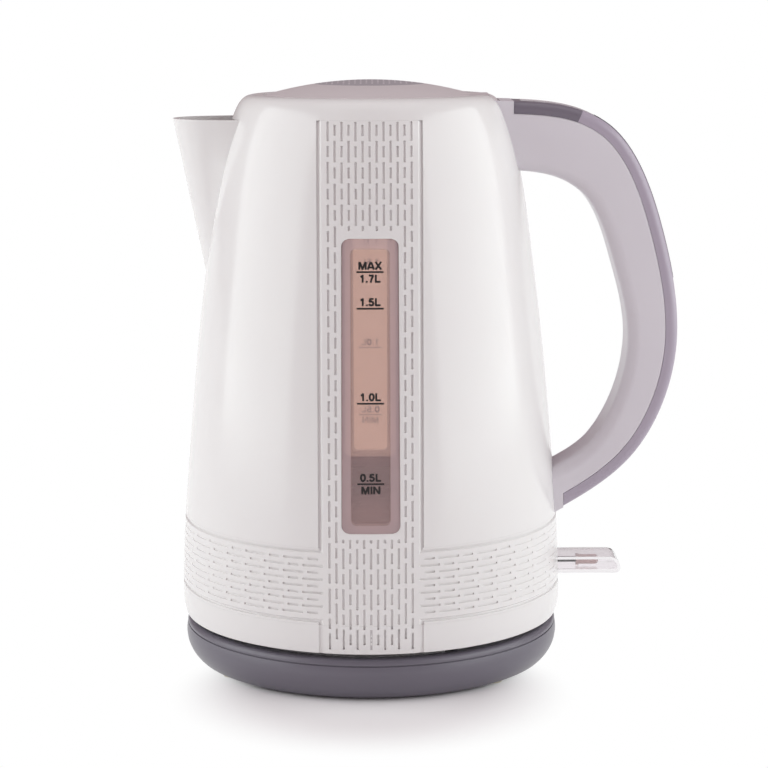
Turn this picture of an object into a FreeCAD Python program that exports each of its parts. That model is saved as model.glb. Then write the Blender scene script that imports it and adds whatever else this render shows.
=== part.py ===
import FreeCAD, Part
import math
import os

V = FreeCAD.Vector
UP = V(0, 0, 1)
ORIGIN = V(0, 0, 0)

# Sizes in millimetres. The origin is on the kettle's axis at the table, +X points to the handle.

# Fits
weld_gap = 0.1
set_gap = 0.15
slide_gap = 0.3
pin_gap = 0.05
screw_gap = 0.05
swivel_gap = 0.5
overrun = 5.0
weld_lap = 0.5

# Power base
foot_height = 1.3
foot_radius = 4.0
foot_recess = 1.0
foot_circle = 67.5
foot_spread = 51.3
foot_turn = -5.2
base_radius = 77.1
base_bottom_radius = 73.0
base_belly = 2.05
base_wall = 2.2
seam_height = 14.6
seam_line = 0.6
seam_line_depth = 0.5
rim_height = 17.6
rim_width = 4.0
rim_round = 2.2
tray_depth = 2.6
rim_slope = 2.0
lip_gap = 0.5
base_screw_circle = 48.0
base_screw_count = 3
cord_notch_width = 8.0
cord_notch_height = 7.5
cord_notch_start = 57.0

# Socket boss in the middle of the base
boss_radius = 16.5
boss_height = 17.0
boss_flange = 7.0
boss_flange_thick = 3.0
boss_bore = 5.0
boss_round = 1.5
slot_inner = 8.2
slot_outer = 11.4
slot_floor = 2.0
contact_thick = 0.8
contact_gap = 0.2
earth_pin_radius = 2.0
earth_pin_below_top = 2.0

# Connector under the kettle
connector_wall = 5.0
connector_lift = 2.0
connector_roof = 4.0
roof_gap = 1.0

# Jug: radius and height above its bottom edge at five stations, with the slope there
jug_bottom = 20.0
jug_height = 213.5
jug_wall = 2.5
skirt_radius = 77.5
belly_radius = 78.6
belly_height = 8.0
waist_radius = 75.3
waist_height = 66.0
chest_radius = 67.6
chest_height = 140.5
shoulder_radius = 56.2
shoulder_height = 203.0
top_flat_radius = 47.0
shoulder_rise_share = 0.62
shoulder_run_share = 0.55
skirt_slope = 0.30
waist_slope = -0.085
chest_slope = -0.135
shoulder_slope = -0.36

# Mouth and neck
mouth_radius = 43.3
neck_wall = 2.2
neck_depth = 11.5

# Spout
spout_rim_height = 204.0
spout_root_height = 130.0
spout_tip = 80.0
spout_foot = 65.2
spout_nose_top = 18.0
spout_nose_low = 22.0
spout_half_top = 23.0
spout_half_low = 34.0
spout_inner_x = 45.0
spout_wall = 2.2

# Water windows, front and rear
window_bottom = 46.5
window_top = 161.3
window_half_top = 10.75
window_half_low = 11.3
window_corner = 3.0
window_sink = 0.5
window_flange = 3.0
window_flange_thick = 1.2
window_panel_inset = 4.0
window_panel_rise = 0.35
panel_corner = 0.8

# Sunk cross of bands on each face, between four plain panels
band_half_top = 20.5
band_half_low = 20.4
band_top = 205.5
band_low = 11.5
band_high = 41.9
band_depth = 1.0

# Skirt under the cross: border grooves, and the lowest dashes from the middle column outwards
border_width = 1.7
dash_half = 0.4
dash_pitch = 2.68
even_dashes = [(2.0, 10.2)]
odd_dashes = [(4.0, 8.3), (10.2, band_low)]
next_dashes = [(6.2, 10.5)]
edge_dashes = [(1.8, 8.4), (10.3, band_low)]
dash_columns = [even_dashes, odd_dashes, even_dashes, odd_dashes, even_dashes, next_dashes, edge_dashes]

# Spout filter
filter_half = 19.0
filter_bottom = 150.0
filter_top = 200.0
filter_thick = 2.0
filter_border = 3.0
filter_x = 47.5
filter_rail = 2.0
filter_rail_reach = 2.0
filter_tab = 1.5
filter_tab_half = 4.0
filter_tab_height = 5.0
net_thick = 0.4
net_columns = 9
net_rows = 12
net_bar = 0.9

# Heating plate and what hangs under it
plate_level = 37.0
plate_radius = 60.0
plate_thick = 0.8
seal_thick = 1.2
seal_width = 4.0
ring_thick = 3.0
spreader_radius = 50.0
spreader_thick = 3.0
element_radius = 39.0
element_tube = 3.4
element_sweep = 300.0
cold_pin_radius = 1.6
cold_pin_length = 9.0
control_radius = 21.5
control_height = 9.0
control_post_radius = 3.2
control_post_circle = 16.5
control_post_count = 3
control_arm_half = 9.0
control_arm_thick = 4.0
control_arm_reach = 52.0
bimetal_radius = 6.5
bimetal_thick = 0.5
bimetal_x = 44.0
bimetal_slot_outer = 3.9
bimetal_slot_inner = 2.9
bimetal_bridge = 2.0

# Steam tube along the rear wall
tube_radius = 4.5
tube_wall = 1.3
tube_top_height = 185.0
tube_edge = 2.2
tube_side_gap = 1.2
tube_below = 2.0

# Bottom cover and the ring it stands on
cover_sink = 2.0
cover_wall = 2.2
stand_radius = 64.0
stand_width = 4.0
post_radius = 4.0
post_count = 3

# Screws
screw_radius = 1.5
screw_head = 2.9
screw_head_thick = 1.8
screw_bite = 8.0
head_recess = 0.6
pilot_roof = 0.7

# Lid
lid_radius = 42.7
lid_crown = 219.3
lid_edge = 213.2
lid_wall = 2.2
lid_skirt = 2.2
lid_ledge = 5.0
inset_radius = 22.0
inset_thick = 1.2
cup_radius = 40.4
cup_wall = 1.8
cup_depth = 8.5
seal_groove = 1.2
lid_seal_height = 2.4
lid_seal_drop = 3.0
vent_radius = 2.0
vent_circle = 30.0
vent_count = 5

# Lid hinge
hinge_x = 48.5
hinge_drop = 3.6
barrel_radius = 3.6
tail_half = 12.5
tail_thick = 2.4
tail_root = 34.0
hinge_pin_radius = 1.25
hinge_ear = 5.0
hinge_cap = 1.5
pocket_gap = 0.6

# Handle: outer line, inner line, cover strip
handle_half = 13.5
handle_round = 5.0
handle_cover_thick = 5.0
handle_cover_round = 3.0
handle_seam_round = 0.6
handle_cover_shell = 2.4
handle_channel_depth = 4.0
handle_channel_half = 8.5
handle_cover_start = 58.2
handle_cover_end = 79.7
handle_split = 140.0
handle_top = 211.3
handle_reach = 125.8
handle_reach_height = 117.0
handle_bend_x = 96.6
handle_bend_height = 201.3
handle_rear_x = 119.5
handle_rear_height = 157.0
handle_heel_x = 105.3
handle_heel_height = 62.6
handle_low_x = 69.2
handle_low_height = 38.2
grip_top_height = 183.1
grip_bend_x = 86.0
grip_bend_height = 174.0
grip_rear_x = 98.8
grip_rear_height = 147.6
grip_reach = 105.6
grip_reach_height = 114.0
grip_heel_x = 91.7
grip_heel_height = 72.4
grip_low_x = 66.6
grip_low_height = 55.6

# Grip pad on the outer face
pad_half = 9.0
pad_proud = 0.35
pad_sink = 1.2
pad_start = 92.3
pad_end_height = 139.0

# Lid release button, catch slider and return spring
button_start = 61.2
button_end = 91.0
button_half = 7.0
button_thick = 1.4
button_proud = 0.2
stem_start = 66.0
stem_length = 5.0
stem_half = 2.6
stem_clear = 1.8
stem_chamfer = 2.0
ramp_gap = 0.2
slider_thick = 3.0
slider_half = 5.4
slider_rail = 2.0
slider_start = 56.5
slider_riser = 2.2
slider_end = 73.0
slider_travel = 2.0
nose_half = 3.0
nose_thick = 3.0
nose_rise = 2.4
nose_gap = 0.4
spring_radius = 1.2
spring_wire = 0.35
spring_length = 5.0
spring_turns = 5
spring_post = 2.5
spring_post_share = 0.6
spring_post_root = 6.0

# Handle screws
handle_screw_high = 193.5
handle_screw_low = 55.0
handle_boss_radius = 4.2
handle_boss_depth = 6.0

# Switch lever under the handle
lever_tip = 104.1
lever_low = 14.9
lever_high = 21.7
lever_half = 8.5
lever_nose_round = 4.6
lever_chin_round = 2.0
lever_wall = 1.3
lever_tilt = 10.0
lever_slot_gap = 0.7
lever_pivot_x = 60.0
lever_pivot_height = 18.0
lever_hub_radius = 4.0
lever_toe = 3.0
lever_toe_half = 4.0
lever_web = 2.0
lever_root_gap = 1.0
lever_inner_round = 0.5
lever_pin_radius = 1.5
ear_thick = 3.0
ear_half = 5.0
ear_gap = 0.3
lamp_radius = 1.5
lamp_flange = 1.9
lamp_length = 8.0
lamp_flange_thick = 1.2
lamp_x = 86.0
lead_radius = 0.4
lead_length = 16.0
lead_spread = 0.9

# Heights that follow from the sizes above
base_bottom = foot_height
tray = rim_height - tray_depth
tray_under = tray - base_wall
boss_top = tray + boss_height
jug_top = jug_bottom + jug_height
plate_top = jug_bottom + plate_level
plate_under = plate_top - plate_thick
ring_top = plate_under - seal_thick
ring_under = ring_top - ring_thick
spreader_under = plate_under - spreader_thick
connector_bottom = tray + connector_lift
connector_radius = boss_radius + swivel_gap + connector_wall
connector_top = boss_top + roof_gap + connector_roof
control_top = connector_top + control_height
cover_under = jug_bottom + cover_sink
cover_top = cover_under + cover_wall
hinge_z = jug_top - hinge_drop
pivot_z = jug_bottom + lever_pivot_height
handle_mid = jug_bottom + handle_split
lid_under = jug_bottom + lid_edge - lid_skirt
mouth_floor = jug_top - neck_depth
lid_roof = jug_bottom + lid_crown + overrun


def line(a, b):
    return Part.makeLine(a, b)


def face_of(edges):
    return Part.Face(Part.Wire(Part.__sortEdges__(edges)))


def outline(points):
    """Closed flat face through the given points."""
    return Part.Face(Part.makePolygon(points + points[:1]))


def turned(points):
    """Solid turned about the kettle's axis from (radius, height) corners."""
    return outline([V(r, 0, z) for r, z in points]).revolve(ORIGIN, UP, 360)


def rod(radius, low, high, x=0.0, y=0.0):
    return Part.makeCylinder(radius, high - low, V(x, y, low))


def tube(outer, inner, low, high, x=0.0, y=0.0):
    return rod(outer, low, high, x, y).cut(rod(inner, low, high, x, y))


def block(x0, x1, y0, y1, z0, z1):
    return Part.makeBox(x1 - x0, y1 - y0, z1 - z0, V(x0, y0, z0))


def cross_rod(radius, half, x, z):
    """Rod along Y, centred on the handle's plane."""
    return Part.makeCylinder(radius, 2 * half, V(x, -half, z), V(0, 1, 0))


def round_array(count, circle, start=0.0):
    """Points evenly spaced on a circle about the axis."""
    step = 2 * math.pi / count
    angles = [start + step * i for i in range(count)]
    return [(circle * math.cos(a), circle * math.sin(a)) for a in angles]


def group(shapes):
    return Part.makeCompound(shapes)


def join(first, *rest):
    return first.fuse(list(rest)).removeSplitter()


def save(name, shape):
    shape.exportStep("parts/" + name + ".step")


# Jug

def side_curve(inset):
    """Meridian of the jug's side, moved inwards by inset."""
    stations = [(skirt_radius, 0.0, skirt_slope), (belly_radius, belly_height, 0.0),
                (waist_radius, waist_height, waist_slope), (chest_radius, chest_height, chest_slope),
                (shoulder_radius, shoulder_height, shoulder_slope)]
    curve = Part.BSplineCurve()
    curve.interpolate(Points=[V(r - inset, 0, jug_bottom + z) for r, z, s in stations],
                      Tangents=[V(s, 0, 1) for r, z, s in stations],
                      TangentFlags=[True] * len(stations))
    return curve


def jug_radius(z):
    """Outer radius of the jug at height z, found on the meridian by halving."""
    curve = side_curve(0.0)
    low, high = curve.FirstParameter, curve.LastParameter
    for _ in range(50):
        middle = (low + high) / 2
        if curve.value(middle).z < z:
            low = middle
        else:
            high = middle
    return curve.value(low).x


def jug_solid(inset):
    """Filled jug: side, rounded shoulder and flat top, every face moved inwards by inset."""
    side = side_curve(inset)
    start, end = side.StartPoint, side.EndPoint
    top = V(top_flat_radius, 0, jug_top - inset)
    rise = (top.z - end.z) * shoulder_rise_share
    lean = V(shoulder_slope, 0, 1) * rise
    run = (end.x - top.x) * shoulder_run_share
    shoulder = Part.BezierCurve()
    shoulder.setPoles([end, end + lean, top + V(run, 0, 0), top])
    foot, crown = V(0, 0, start.z), V(0, 0, top.z)
    edges = [side.toShape(), shoulder.toShape(), line(top, crown), line(crown, foot), line(foot, start)]
    return face_of(edges).revolve(ORIGIN, UP, 360)


def spout_section(z, inset):
    """Plan of the spout at height z: a round nose with two straight cheeks running into the jug."""
    share = (z - jug_bottom - spout_root_height) / (spout_rim_height - spout_root_height)
    nose = spout_nose_low + share * (spout_nose_top - spout_nose_low)
    reach = spout_foot + share * (spout_tip - spout_foot)
    half = spout_half_low + share * (spout_half_top - spout_half_low)
    centre = nose - reach
    away = math.hypot(centre + spout_inner_x, half)
    turn = math.atan2(half, -spout_inner_x - centre) + math.acos(nose / away)
    across = V(math.cos(turn), math.sin(turn), 0)
    radius = nose - inset
    middle = V(centre, 0, z)
    touch = middle + across * radius
    root = V(-spout_inner_x, half, z) - across * inset
    tip = V(centre - radius, 0, z)
    mirror_touch, mirror_root = V(touch.x, -touch.y, z), V(root.x, -root.y, z)
    arc = Part.Arc(touch, tip, mirror_touch).toShape()
    return Part.Wire([line(root, touch), arc, line(mirror_touch, mirror_root), line(mirror_root, root)])


def spout_solid(inset):
    low, high = jug_bottom + spout_root_height, jug_bottom + spout_rim_height
    return Part.makeLoft([spout_section(low, inset), spout_section(high, inset)], True, True)


def window_prism(side, grow):
    """Rounded, slightly tapered window outline run through the front (-1) or rear (+1) wall."""
    low = jug_bottom + window_bottom - grow
    high = jug_bottom + window_top + grow
    wide, narrow = window_half_low + grow, window_half_top + grow
    corners = [V(-wide, 0, low), V(wide, 0, low), V(narrow, 0, high), V(-narrow, 0, high)]
    prism = outline(corners).extrude(V(0, side * (belly_radius + overrun), 0))
    upright = [e for e in prism.Edges if abs(e.tangentAt(e.FirstParameter).y) > 0.99]
    return prism.makeFillet(max(window_corner + grow, panel_corner), upright)


def make_front_window(skins):
    """Clear pane with a raised middle panel, and a flange against the inside of the wall."""
    pane = window_prism(-1, 0.0).common(skins["sunk"].cut(skins["inner"]))
    flange = window_prism(-1, window_flange).common(skins["inner"].cut(skins["flange"]))
    panel = window_prism(-1, -window_panel_inset).common(skins["panel"].cut(skins["sunk"]))
    return join(pane, flange, panel)


def band_cross(skins):
    """Shallow seats of the bands: one upright, front and rear, and one round the foot."""
    skin = skins["outer"].cut(skins["band"])
    wide = belly_radius + overrun
    low, high, top = jug_bottom + band_low, jug_bottom + band_high, jug_bottom + band_top
    corners = [V(-band_half_low, -wide, low), V(band_half_low, -wide, low),
               V(band_half_top, -wide, top), V(-band_half_top, -wide, top)]
    upright = outline(corners).extrude(V(0, 2 * wide, 0))
    hoop = block(-wide, wide, -wide, wide, low, high)
    return [upright.common(skin), hoop.common(skin)]


def skirt_cuts(skins):
    """Lowest dashes of the upright bands and the ends of their border grooves, cut into the skirt."""
    wide, low = belly_radius + overrun, jug_bottom + band_low
    dashes = []
    for column, spans in enumerate(dash_columns):
        for middle in sorted({-column * dash_pitch, column * dash_pitch}):
            for start, end in spans:
                dashes.append(block(middle - dash_half, middle + dash_half, -wide, wide,
                                    jug_bottom + start, jug_bottom + end))
    grooves = []
    for side in (-1, 1):
        x0, x1 = sorted((side * band_half_low, side * (band_half_low - border_width)))
        grooves.append(block(x0, x1, -wide, wide, jug_bottom - overrun, low))
    deep = skins["outer"].cut(skins["band"])
    shallow = skins["outer"].cut(skins["sunk"])
    return [group(dashes).common(deep), group(grooves).common(shallow)]


def hinge_block(skins):
    """Solid corner under the shoulder that carries the lid's pin."""
    half = tail_half + pocket_gap + hinge_ear
    corner = block(mouth_radius - jug_wall, belly_radius, -half, half, mouth_floor, jug_top)
    return corner.common(skins["outer"])


def hinge_pocket():
    half = tail_half + pocket_gap
    reach = hinge_x + barrel_radius + pocket_gap
    floor = hinge_z - barrel_radius - pocket_gap
    return block(mouth_radius - jug_wall, reach, -half, half, floor, jug_top + overrun)


def slider_way():
    """Room for the catch: a low way for its riser and a narrow one for its nose."""
    low, nose_low = slider_floor() - slide_gap, slider_floor() + nose_rise - slide_gap
    high = slider_floor() + nose_rise + nose_thick + slide_gap
    wide, narrow = slider_half + slide_gap, nose_half + slide_gap
    riser_end = slider_start + slider_riser + slider_travel
    nose = block(hinge_x, riser_end, -narrow, narrow, nose_low, high)
    return nose.fuse(block(slider_start - slide_gap, stem_start, -wide, wide, low, high))


def handle_screw_places():
    return [jug_bottom + handle_screw_high, jug_bottom + handle_screw_low]


def lever_slot():
    drop = (jug_radius(jug_bottom + lever_low) - lever_pivot_x) * math.tan(math.radians(lever_tilt))
    low = jug_bottom + lever_low - drop - 2 * lever_slot_gap
    high = jug_bottom + lever_high + lever_slot_gap
    half = lever_half + lever_slot_gap
    return block(lever_pivot_x + lever_hub_radius, belly_radius + overrun, -half, half, low, high)


def filter_rails(skins):
    """Two upright rails inside the wall that hold the spout filter."""
    rails = []
    for side in (-1, 1):
        y0, y1 = sorted((side * (filter_half + set_gap), side * (filter_half + set_gap + filter_rail)))
        low, high = jug_bottom + filter_bottom, jug_bottom + filter_top
        inner_edge = -filter_x + filter_rail_reach
        rails.append(block(-belly_radius, inner_edge, y0, y1, low, high).common(skins["inner"]))
    return rails


def make_jug(skins):
    shell = skins["outer"].fuse(spout_solid(0.0)).cut(skins["inner"])
    inside = spout_solid(spout_wall)
    neck = tube(mouth_radius + neck_wall, mouth_radius, mouth_floor, jug_top - jug_wall / 2)
    shell = shell.cut(inside).fuse([neck, hinge_block(skins)] + filter_rails(skins))
    bosses = []
    for z in handle_screw_places():
        root = jug_radius(z)
        place = V(root - handle_boss_depth, 0, z)
        boss = Part.makeCylinder(handle_boss_radius, handle_boss_depth, place, V(1, 0, 0))
        bosses.append(boss.common(skins["outer"]))
    shell = shell.fuse(bosses)
    cuts = [rod(mouth_radius, mouth_floor - 1, jug_top + overrun), hinge_pocket(), slider_way(), lever_slot()]
    cuts += [window_prism(side, set_gap) for side in (-1, 1)]
    cuts.append(cross_rod(hinge_pin_radius + pin_gap, hinge_pin_half() + pin_gap, hinge_x, hinge_z))
    for z in handle_screw_places():
        depth = handle_boss_depth - jug_wall / 2
        pilot = V(jug_radius(z) - depth, 0, z)
        cuts.append(Part.makeCylinder(screw_radius + screw_gap, depth + overrun, pilot, V(1, 0, 0)))
    return shell.cut(cuts + band_cross(skins) + skirt_cuts(skins))


def hinge_pin_half():
    return tail_half + pocket_gap + hinge_ear - hinge_cap


# Handle

def spline(stations):
    """Spline through (x, height, heading in degrees) stations in the handle's plane."""
    curve = Part.BSplineCurve()
    heads = [V(math.cos(math.radians(h)), 0, math.sin(math.radians(h))) for x, z, h in stations]
    curve.interpolate(Points=[V(x, 0, jug_bottom + z) for x, z, h in stations], Tangents=heads,
                      TangentFlags=[True] * len(stations))
    return curve


def handle_line(inset):
    """Outer line of the handle, each station moved inwards along its normal by inset."""
    stations = [(top_flat_radius, handle_top, -1.5), (handle_bend_x, handle_bend_height, -37.0),
                (handle_rear_x, handle_rear_height, -75.0), (handle_reach, handle_reach_height, -90.0),
                (handle_heel_x, handle_heel_height, -134.0), (handle_low_x, handle_low_height, -151.0)]
    moved = []
    for x, z, h in stations:
        a = math.radians(h)
        moved.append((x + inset * math.sin(a), z - inset * math.cos(a), h))
    return spline(moved)


def grip_line():
    """Inner line of the handle, where the fingers go."""
    return spline([(top_flat_radius, grip_top_height, 0.0), (grip_bend_x, grip_bend_height, -42.0),
                   (grip_rear_x, grip_rear_height, -74.0), (grip_reach, grip_reach_height, -90.0),
                   (grip_heel_x, grip_heel_height, -128.0), (grip_low_x, grip_low_height, -150.0)])


def strip(outer, inner, half):
    """Flat strip between two lines of the handle, as wide as twice half."""
    edges = [outer.toShape(), line(outer.EndPoint, inner.EndPoint),
             inner.toShape(), line(inner.StartPoint, outer.StartPoint)]
    face = face_of(edges)
    face.translate(V(0, -half, 0))
    return face.extrude(V(0, 2 * half, 0))


def cover_zone(gap):
    """Space beyond the two ends of the cover strip."""
    far, tall, wide = handle_reach + overrun, jug_top + overrun, handle_half + 2 * overrun
    top = block(handle_cover_start - gap, far, -wide, wide, handle_mid, tall)
    low = block(handle_cover_end - gap, far, -wide, wide, 0, handle_mid)
    return top.fuse(low)


def rounded(solid, radius, wanted):
    """Rounds the long edges of a handle strip that lie on the wanted line."""
    edges = []
    for edge in solid.Edges:
        middle = edge.valueAt((edge.FirstParameter + edge.LastParameter) / 2)
        flat = V(middle.x, 0, middle.z)
        gap = wanted.toShape().distToShape(Part.Vertex(flat))[0]
        along = abs(edge.tangentAt((edge.FirstParameter + edge.LastParameter) / 2).y)
        if gap < 0.01 and along < 0.1 and edge.Length > radius * 2:
            edges.append(edge)
    return solid.makeFillet(radius, edges)


def button_zone(gap):
    return block(button_start - gap, button_end + gap, -button_half - gap, button_half + gap,
                 handle_mid, jug_top + overrun)


def pad_zone(gap):
    wide, low = handle_half + overrun, jug_bottom + pad_end_height - gap
    return block(pad_start - gap, handle_reach + overrun, -wide, wide, low, jug_top + overrun)


def slider_floor():
    return jug_bottom + handle_top - handle_cover_thick - handle_channel_depth + slide_gap


def make_handle_frame(skins):
    """White inside half of the handle: seat for the cover, channel for the catch, stop for its spring."""
    frame = rounded(strip(handle_line(0.0), grip_line(), handle_half), handle_round, grip_line())
    seat = strip(handle_line(-overrun), handle_line(handle_cover_thick), handle_half + overrun)
    floor = handle_line(handle_cover_thick + handle_channel_depth)
    channel = strip(handle_line(0.0), floor, handle_channel_half)
    frame = frame.cut(seat.common(cover_zone(set_gap)))
    frame = rounded(frame, handle_seam_round, handle_line(handle_cover_thick))
    frame = frame.cut([channel.common(cover_zone(0.0)), slider_way(), hinge_pocket()])
    stop_x, stop_root = slider_end + spring_length, slider_floor() - spring_post_root
    stop_top = slider_floor() + slider_thick * spring_post_share
    frame = frame.fuse(block(stop_x, stop_x + spring_post, -slider_half, slider_half, stop_root, stop_top))
    for z in handle_screw_places():
        shank = V(jug_radius(z) - overrun, 0, z)
        head = V(jug_radius(z) + screw_bite, 0, z)
        frame = frame.cut(Part.makeCylinder(screw_radius + screw_gap, handle_reach, shank, V(1, 0, 0)))
        frame = frame.cut(Part.makeCylinder(screw_head + set_gap, handle_reach, head, V(1, 0, 0)))
    return frame.cut(skins["outer"])


def make_handle_cover():
    """Grey strip on the outside of the handle, hollow underneath, with a slot for the button and a seat."""
    under = handle_line(handle_cover_thick + overrun)
    cover = strip(handle_line(0.0), handle_line(handle_cover_thick), handle_half)
    cover = rounded(cover, handle_cover_round, handle_line(0.0)).common(cover_zone(0.0))
    hollow = strip(handle_line(handle_cover_shell), under, handle_channel_half)
    slot = strip(handle_line(-overrun), under, handle_half).common(button_zone(slide_gap))
    seat = strip(handle_line(-overrun), handle_line(pad_sink), pad_half + set_gap).common(pad_zone(set_gap))
    return cover.cut([hollow.common(cover_zone(-handle_cover_shell)), slot, seat, slider_way()])


def make_grip_pad():
    pad = strip(handle_line(-pad_proud), handle_line(pad_sink), pad_half)
    return pad.common(pad_zone(0.0))


def stem_heel():
    return stem_start + stem_length - stem_chamfer


def make_button():
    """Cap that follows the handle's top line, with a stem that ends in a slanted foot."""
    cap = strip(handle_line(-button_proud), handle_line(button_thick), button_half).common(button_zone(0.0))
    low = slider_floor() + stem_clear
    roof = jug_bottom + handle_top - button_thick - weld_lap
    heel, end = stem_heel(), stem_start + stem_length
    side = [V(stem_start, -stem_half, roof), V(stem_start, -stem_half, low), V(heel, -stem_half, low),
            V(end, -stem_half, low + stem_chamfer), V(end, -stem_half, roof)]
    return join(cap, outline(side).extrude(V(0, 2 * stem_half, 0)))


def make_slider():
    """Catch: nose towards the lid's barrel, two rails past the stem, ramp behind the stem."""
    low, high = slider_floor(), slider_floor() + slider_thick
    nose_tip = hinge_x + barrel_radius + nose_gap
    nose_low = low + nose_rise
    nose_high, riser_end = nose_low + nose_thick, slider_start + slider_riser
    nose = block(nose_tip, riser_end, -nose_half, nose_half, nose_low, nose_high)
    riser = block(slider_start, riser_end, -slider_half, slider_half, low, nose_high)
    foot = stem_heel() - stem_clear + ramp_gap * math.sqrt(2)
    side = [V(foot, -slider_half, low), V(foot + slider_thick, -slider_half, high),
            V(slider_end, -slider_half, high), V(slider_end, -slider_half, low)]
    pieces = [riser, outline(side).extrude(V(0, 2 * slider_half, 0))]
    for side in (-1, 1):
        y0, y1 = sorted((side * (slider_half - slider_rail), side * slider_half))
        pieces.append(block(slider_start, slider_end, y0, y1, low, high))
    return join(nose, *pieces)


def make_spring():
    """Return spring: a straight coil between the slider and the stop in the handle."""
    low = slider_floor() + slider_thick / 2
    start = slider_end + spring_wire + weld_gap
    length = spring_length - 2 * (spring_wire + weld_gap)
    pitch = length / spring_turns
    helix = Part.makeHelix(pitch, length, spring_radius - spring_wire)
    at = V(spring_radius - spring_wire, 0, 0)
    wire = Part.Wire(Part.makeCircle(spring_wire, at, V(0, 1, 0)))
    coil = Part.Wire(helix).makePipeShell([wire], True, True)
    coil.rotate(ORIGIN, V(0, 1, 0), 90)
    coil.translate(V(start, 0, low))
    return coil


def screw(place, direction, length):
    """Pan-head screw: head at place, shank running along direction."""
    head = Part.makeCylinder(screw_head, screw_head_thick, place - direction * screw_head_thick, direction)
    shank = Part.makeCylinder(screw_radius, length, place, direction)
    return join(head, shank)


def make_handle_screws():
    screws = []
    for z in handle_screw_places():
        place = V(jug_radius(z) + screw_bite, 0, z)
        screws.append(screw(place, V(-1, 0, 0), screw_bite + handle_boss_depth / 2))
    return group(screws)


# Lid

def dome(drop, low):
    """Cap of the lid's crown ball, made smaller by drop, cut off at height low."""
    rise = lid_crown - lid_edge
    radius = (lid_radius ** 2 + rise ** 2) / (2 * rise)
    centre = V(0, 0, jug_bottom + lid_crown - radius)
    ball = Part.makeSphere(radius - drop, centre)
    return ball.common(rod(lid_radius, low, lid_roof))


def make_lid_cover(skins):
    """Domed cap with a hinge tail, trimmed flush with the jug's shoulder, and a seat for the inset."""
    shell = dome(0.0, lid_under)
    hollow = dome(lid_wall, lid_under - 1).common(rod(lid_radius - lid_ledge, lid_under - 1, lid_roof))
    tail = block(tail_root, hinge_x, -tail_half, tail_half, jug_top - tail_thick, jug_top)
    tail = tail.cut(rod(lid_radius - lid_ledge, lid_under - overrun, lid_roof))
    barrel = cross_rod(barrel_radius, tail_half, hinge_x, hinge_z)
    cover = join(shell.cut(hollow), tail, barrel.common(skins["outer"]))
    seat = rod(inset_radius + set_gap, lid_under, lid_roof).cut(dome(inset_thick, lid_under - overrun))
    bore = cross_rod(hinge_pin_radius + pin_gap, tail_half + 1, hinge_x, hinge_z)
    return cover.cut([seat, bore])


def make_lid_inset():
    disc = rod(inset_radius, lid_under, lid_roof)
    return disc.common(dome(0.0, lid_under)).cut(dome(inset_thick, lid_under - overrun))


def seal_low():
    return lid_under - lid_seal_drop - lid_seal_height


def make_lid_cup():
    """Inner cup of the lid, with steam holes in its floor and a groove for the seal."""
    low = lid_under - cup_depth
    inner = cup_radius - cup_wall - seal_groove
    cup = rod(cup_radius, low, lid_under).cut(rod(inner, low + cup_wall, lid_under + 1))
    groove = tube(cup_radius + 1, cup_radius - seal_groove, seal_low(), seal_low() + lid_seal_height)
    vents = [rod(vent_radius, low - 1, low + cup_wall + 1, x, y)
             for x, y in round_array(vent_count, vent_circle, math.pi)]
    return cup.cut([groove] + vents)


def make_lid_seal():
    low, high = seal_low(), seal_low() + lid_seal_height
    lip = mouth_radius - slide_gap
    body = cup_radius - seal_groove
    return turned([(body, low), (cup_radius, low), (lip, (low + high) / 2), (cup_radius, high), (body, high)])


# Heating and control

def floor_slab(low, high, inner):
    return inner.common(rod(belly_radius + overrun, low, high))


def tube_axis():
    """Foot and head of the steam tube's middle line."""
    foot_x = plate_radius + tube_edge + tube_radius
    head_z = jug_bottom + tube_top_height
    head_x = jug_radius(head_z) - jug_wall - tube_side_gap - tube_radius
    return V(foot_x, 0, ring_under - tube_below), V(head_x, 0, head_z)


def slant_rod(radius, grow=0.0):
    foot, head = tube_axis()
    run = head - foot
    step = run * (grow / run.Length)
    return Part.makeCylinder(radius, run.Length + 2 * grow, foot - step, run)


def make_floor_ring(skins):
    """Plate carrier welded into the jug, with posts for the bottom cover."""
    ring = floor_slab(ring_under, ring_top, skins["weld"]).cut(rod(plate_radius - seal_width, 0, jug_top))
    posts = []
    for x, y in round_array(post_count, post_spot(), math.pi):
        posts.append(rod(post_radius, cover_top, ring_under + weld_lap, x, y))
    ring = join(ring, *posts)
    holes = [slant_rod(tube_radius + weld_gap, overrun)]
    for x, y in round_array(post_count, post_spot(), math.pi):
        holes.append(rod(screw_radius + screw_gap, cover_top - 1, cover_top + screw_bite + 1, x, y))
    return ring.cut(holes)


def post_spot():
    return plate_radius + post_radius


def make_element():
    """Horseshoe of sheathed heater with its two cold pins."""
    z = spreader_under - element_tube
    ring = Part.makeTorus(element_radius, element_tube, V(0, 0, z), UP, -180, 180, element_sweep)
    ring.rotate(ORIGIN, UP, 180 + (360 - element_sweep) / 2)
    pins = []
    for side in (-1, 1):
        angle = math.radians(180 + side * (360 - element_sweep) / 2)
        place = V(element_radius * math.cos(angle), element_radius * math.sin(angle), z)
        heading = V(math.sin(angle), -math.cos(angle), 0) * side
        pins.append(Part.makeCylinder(cold_pin_radius, cold_pin_length + 1, place - heading, heading))
    return join(ring, *pins)


def control_spots():
    return round_array(control_post_count, control_post_circle, math.pi / 3)


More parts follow.
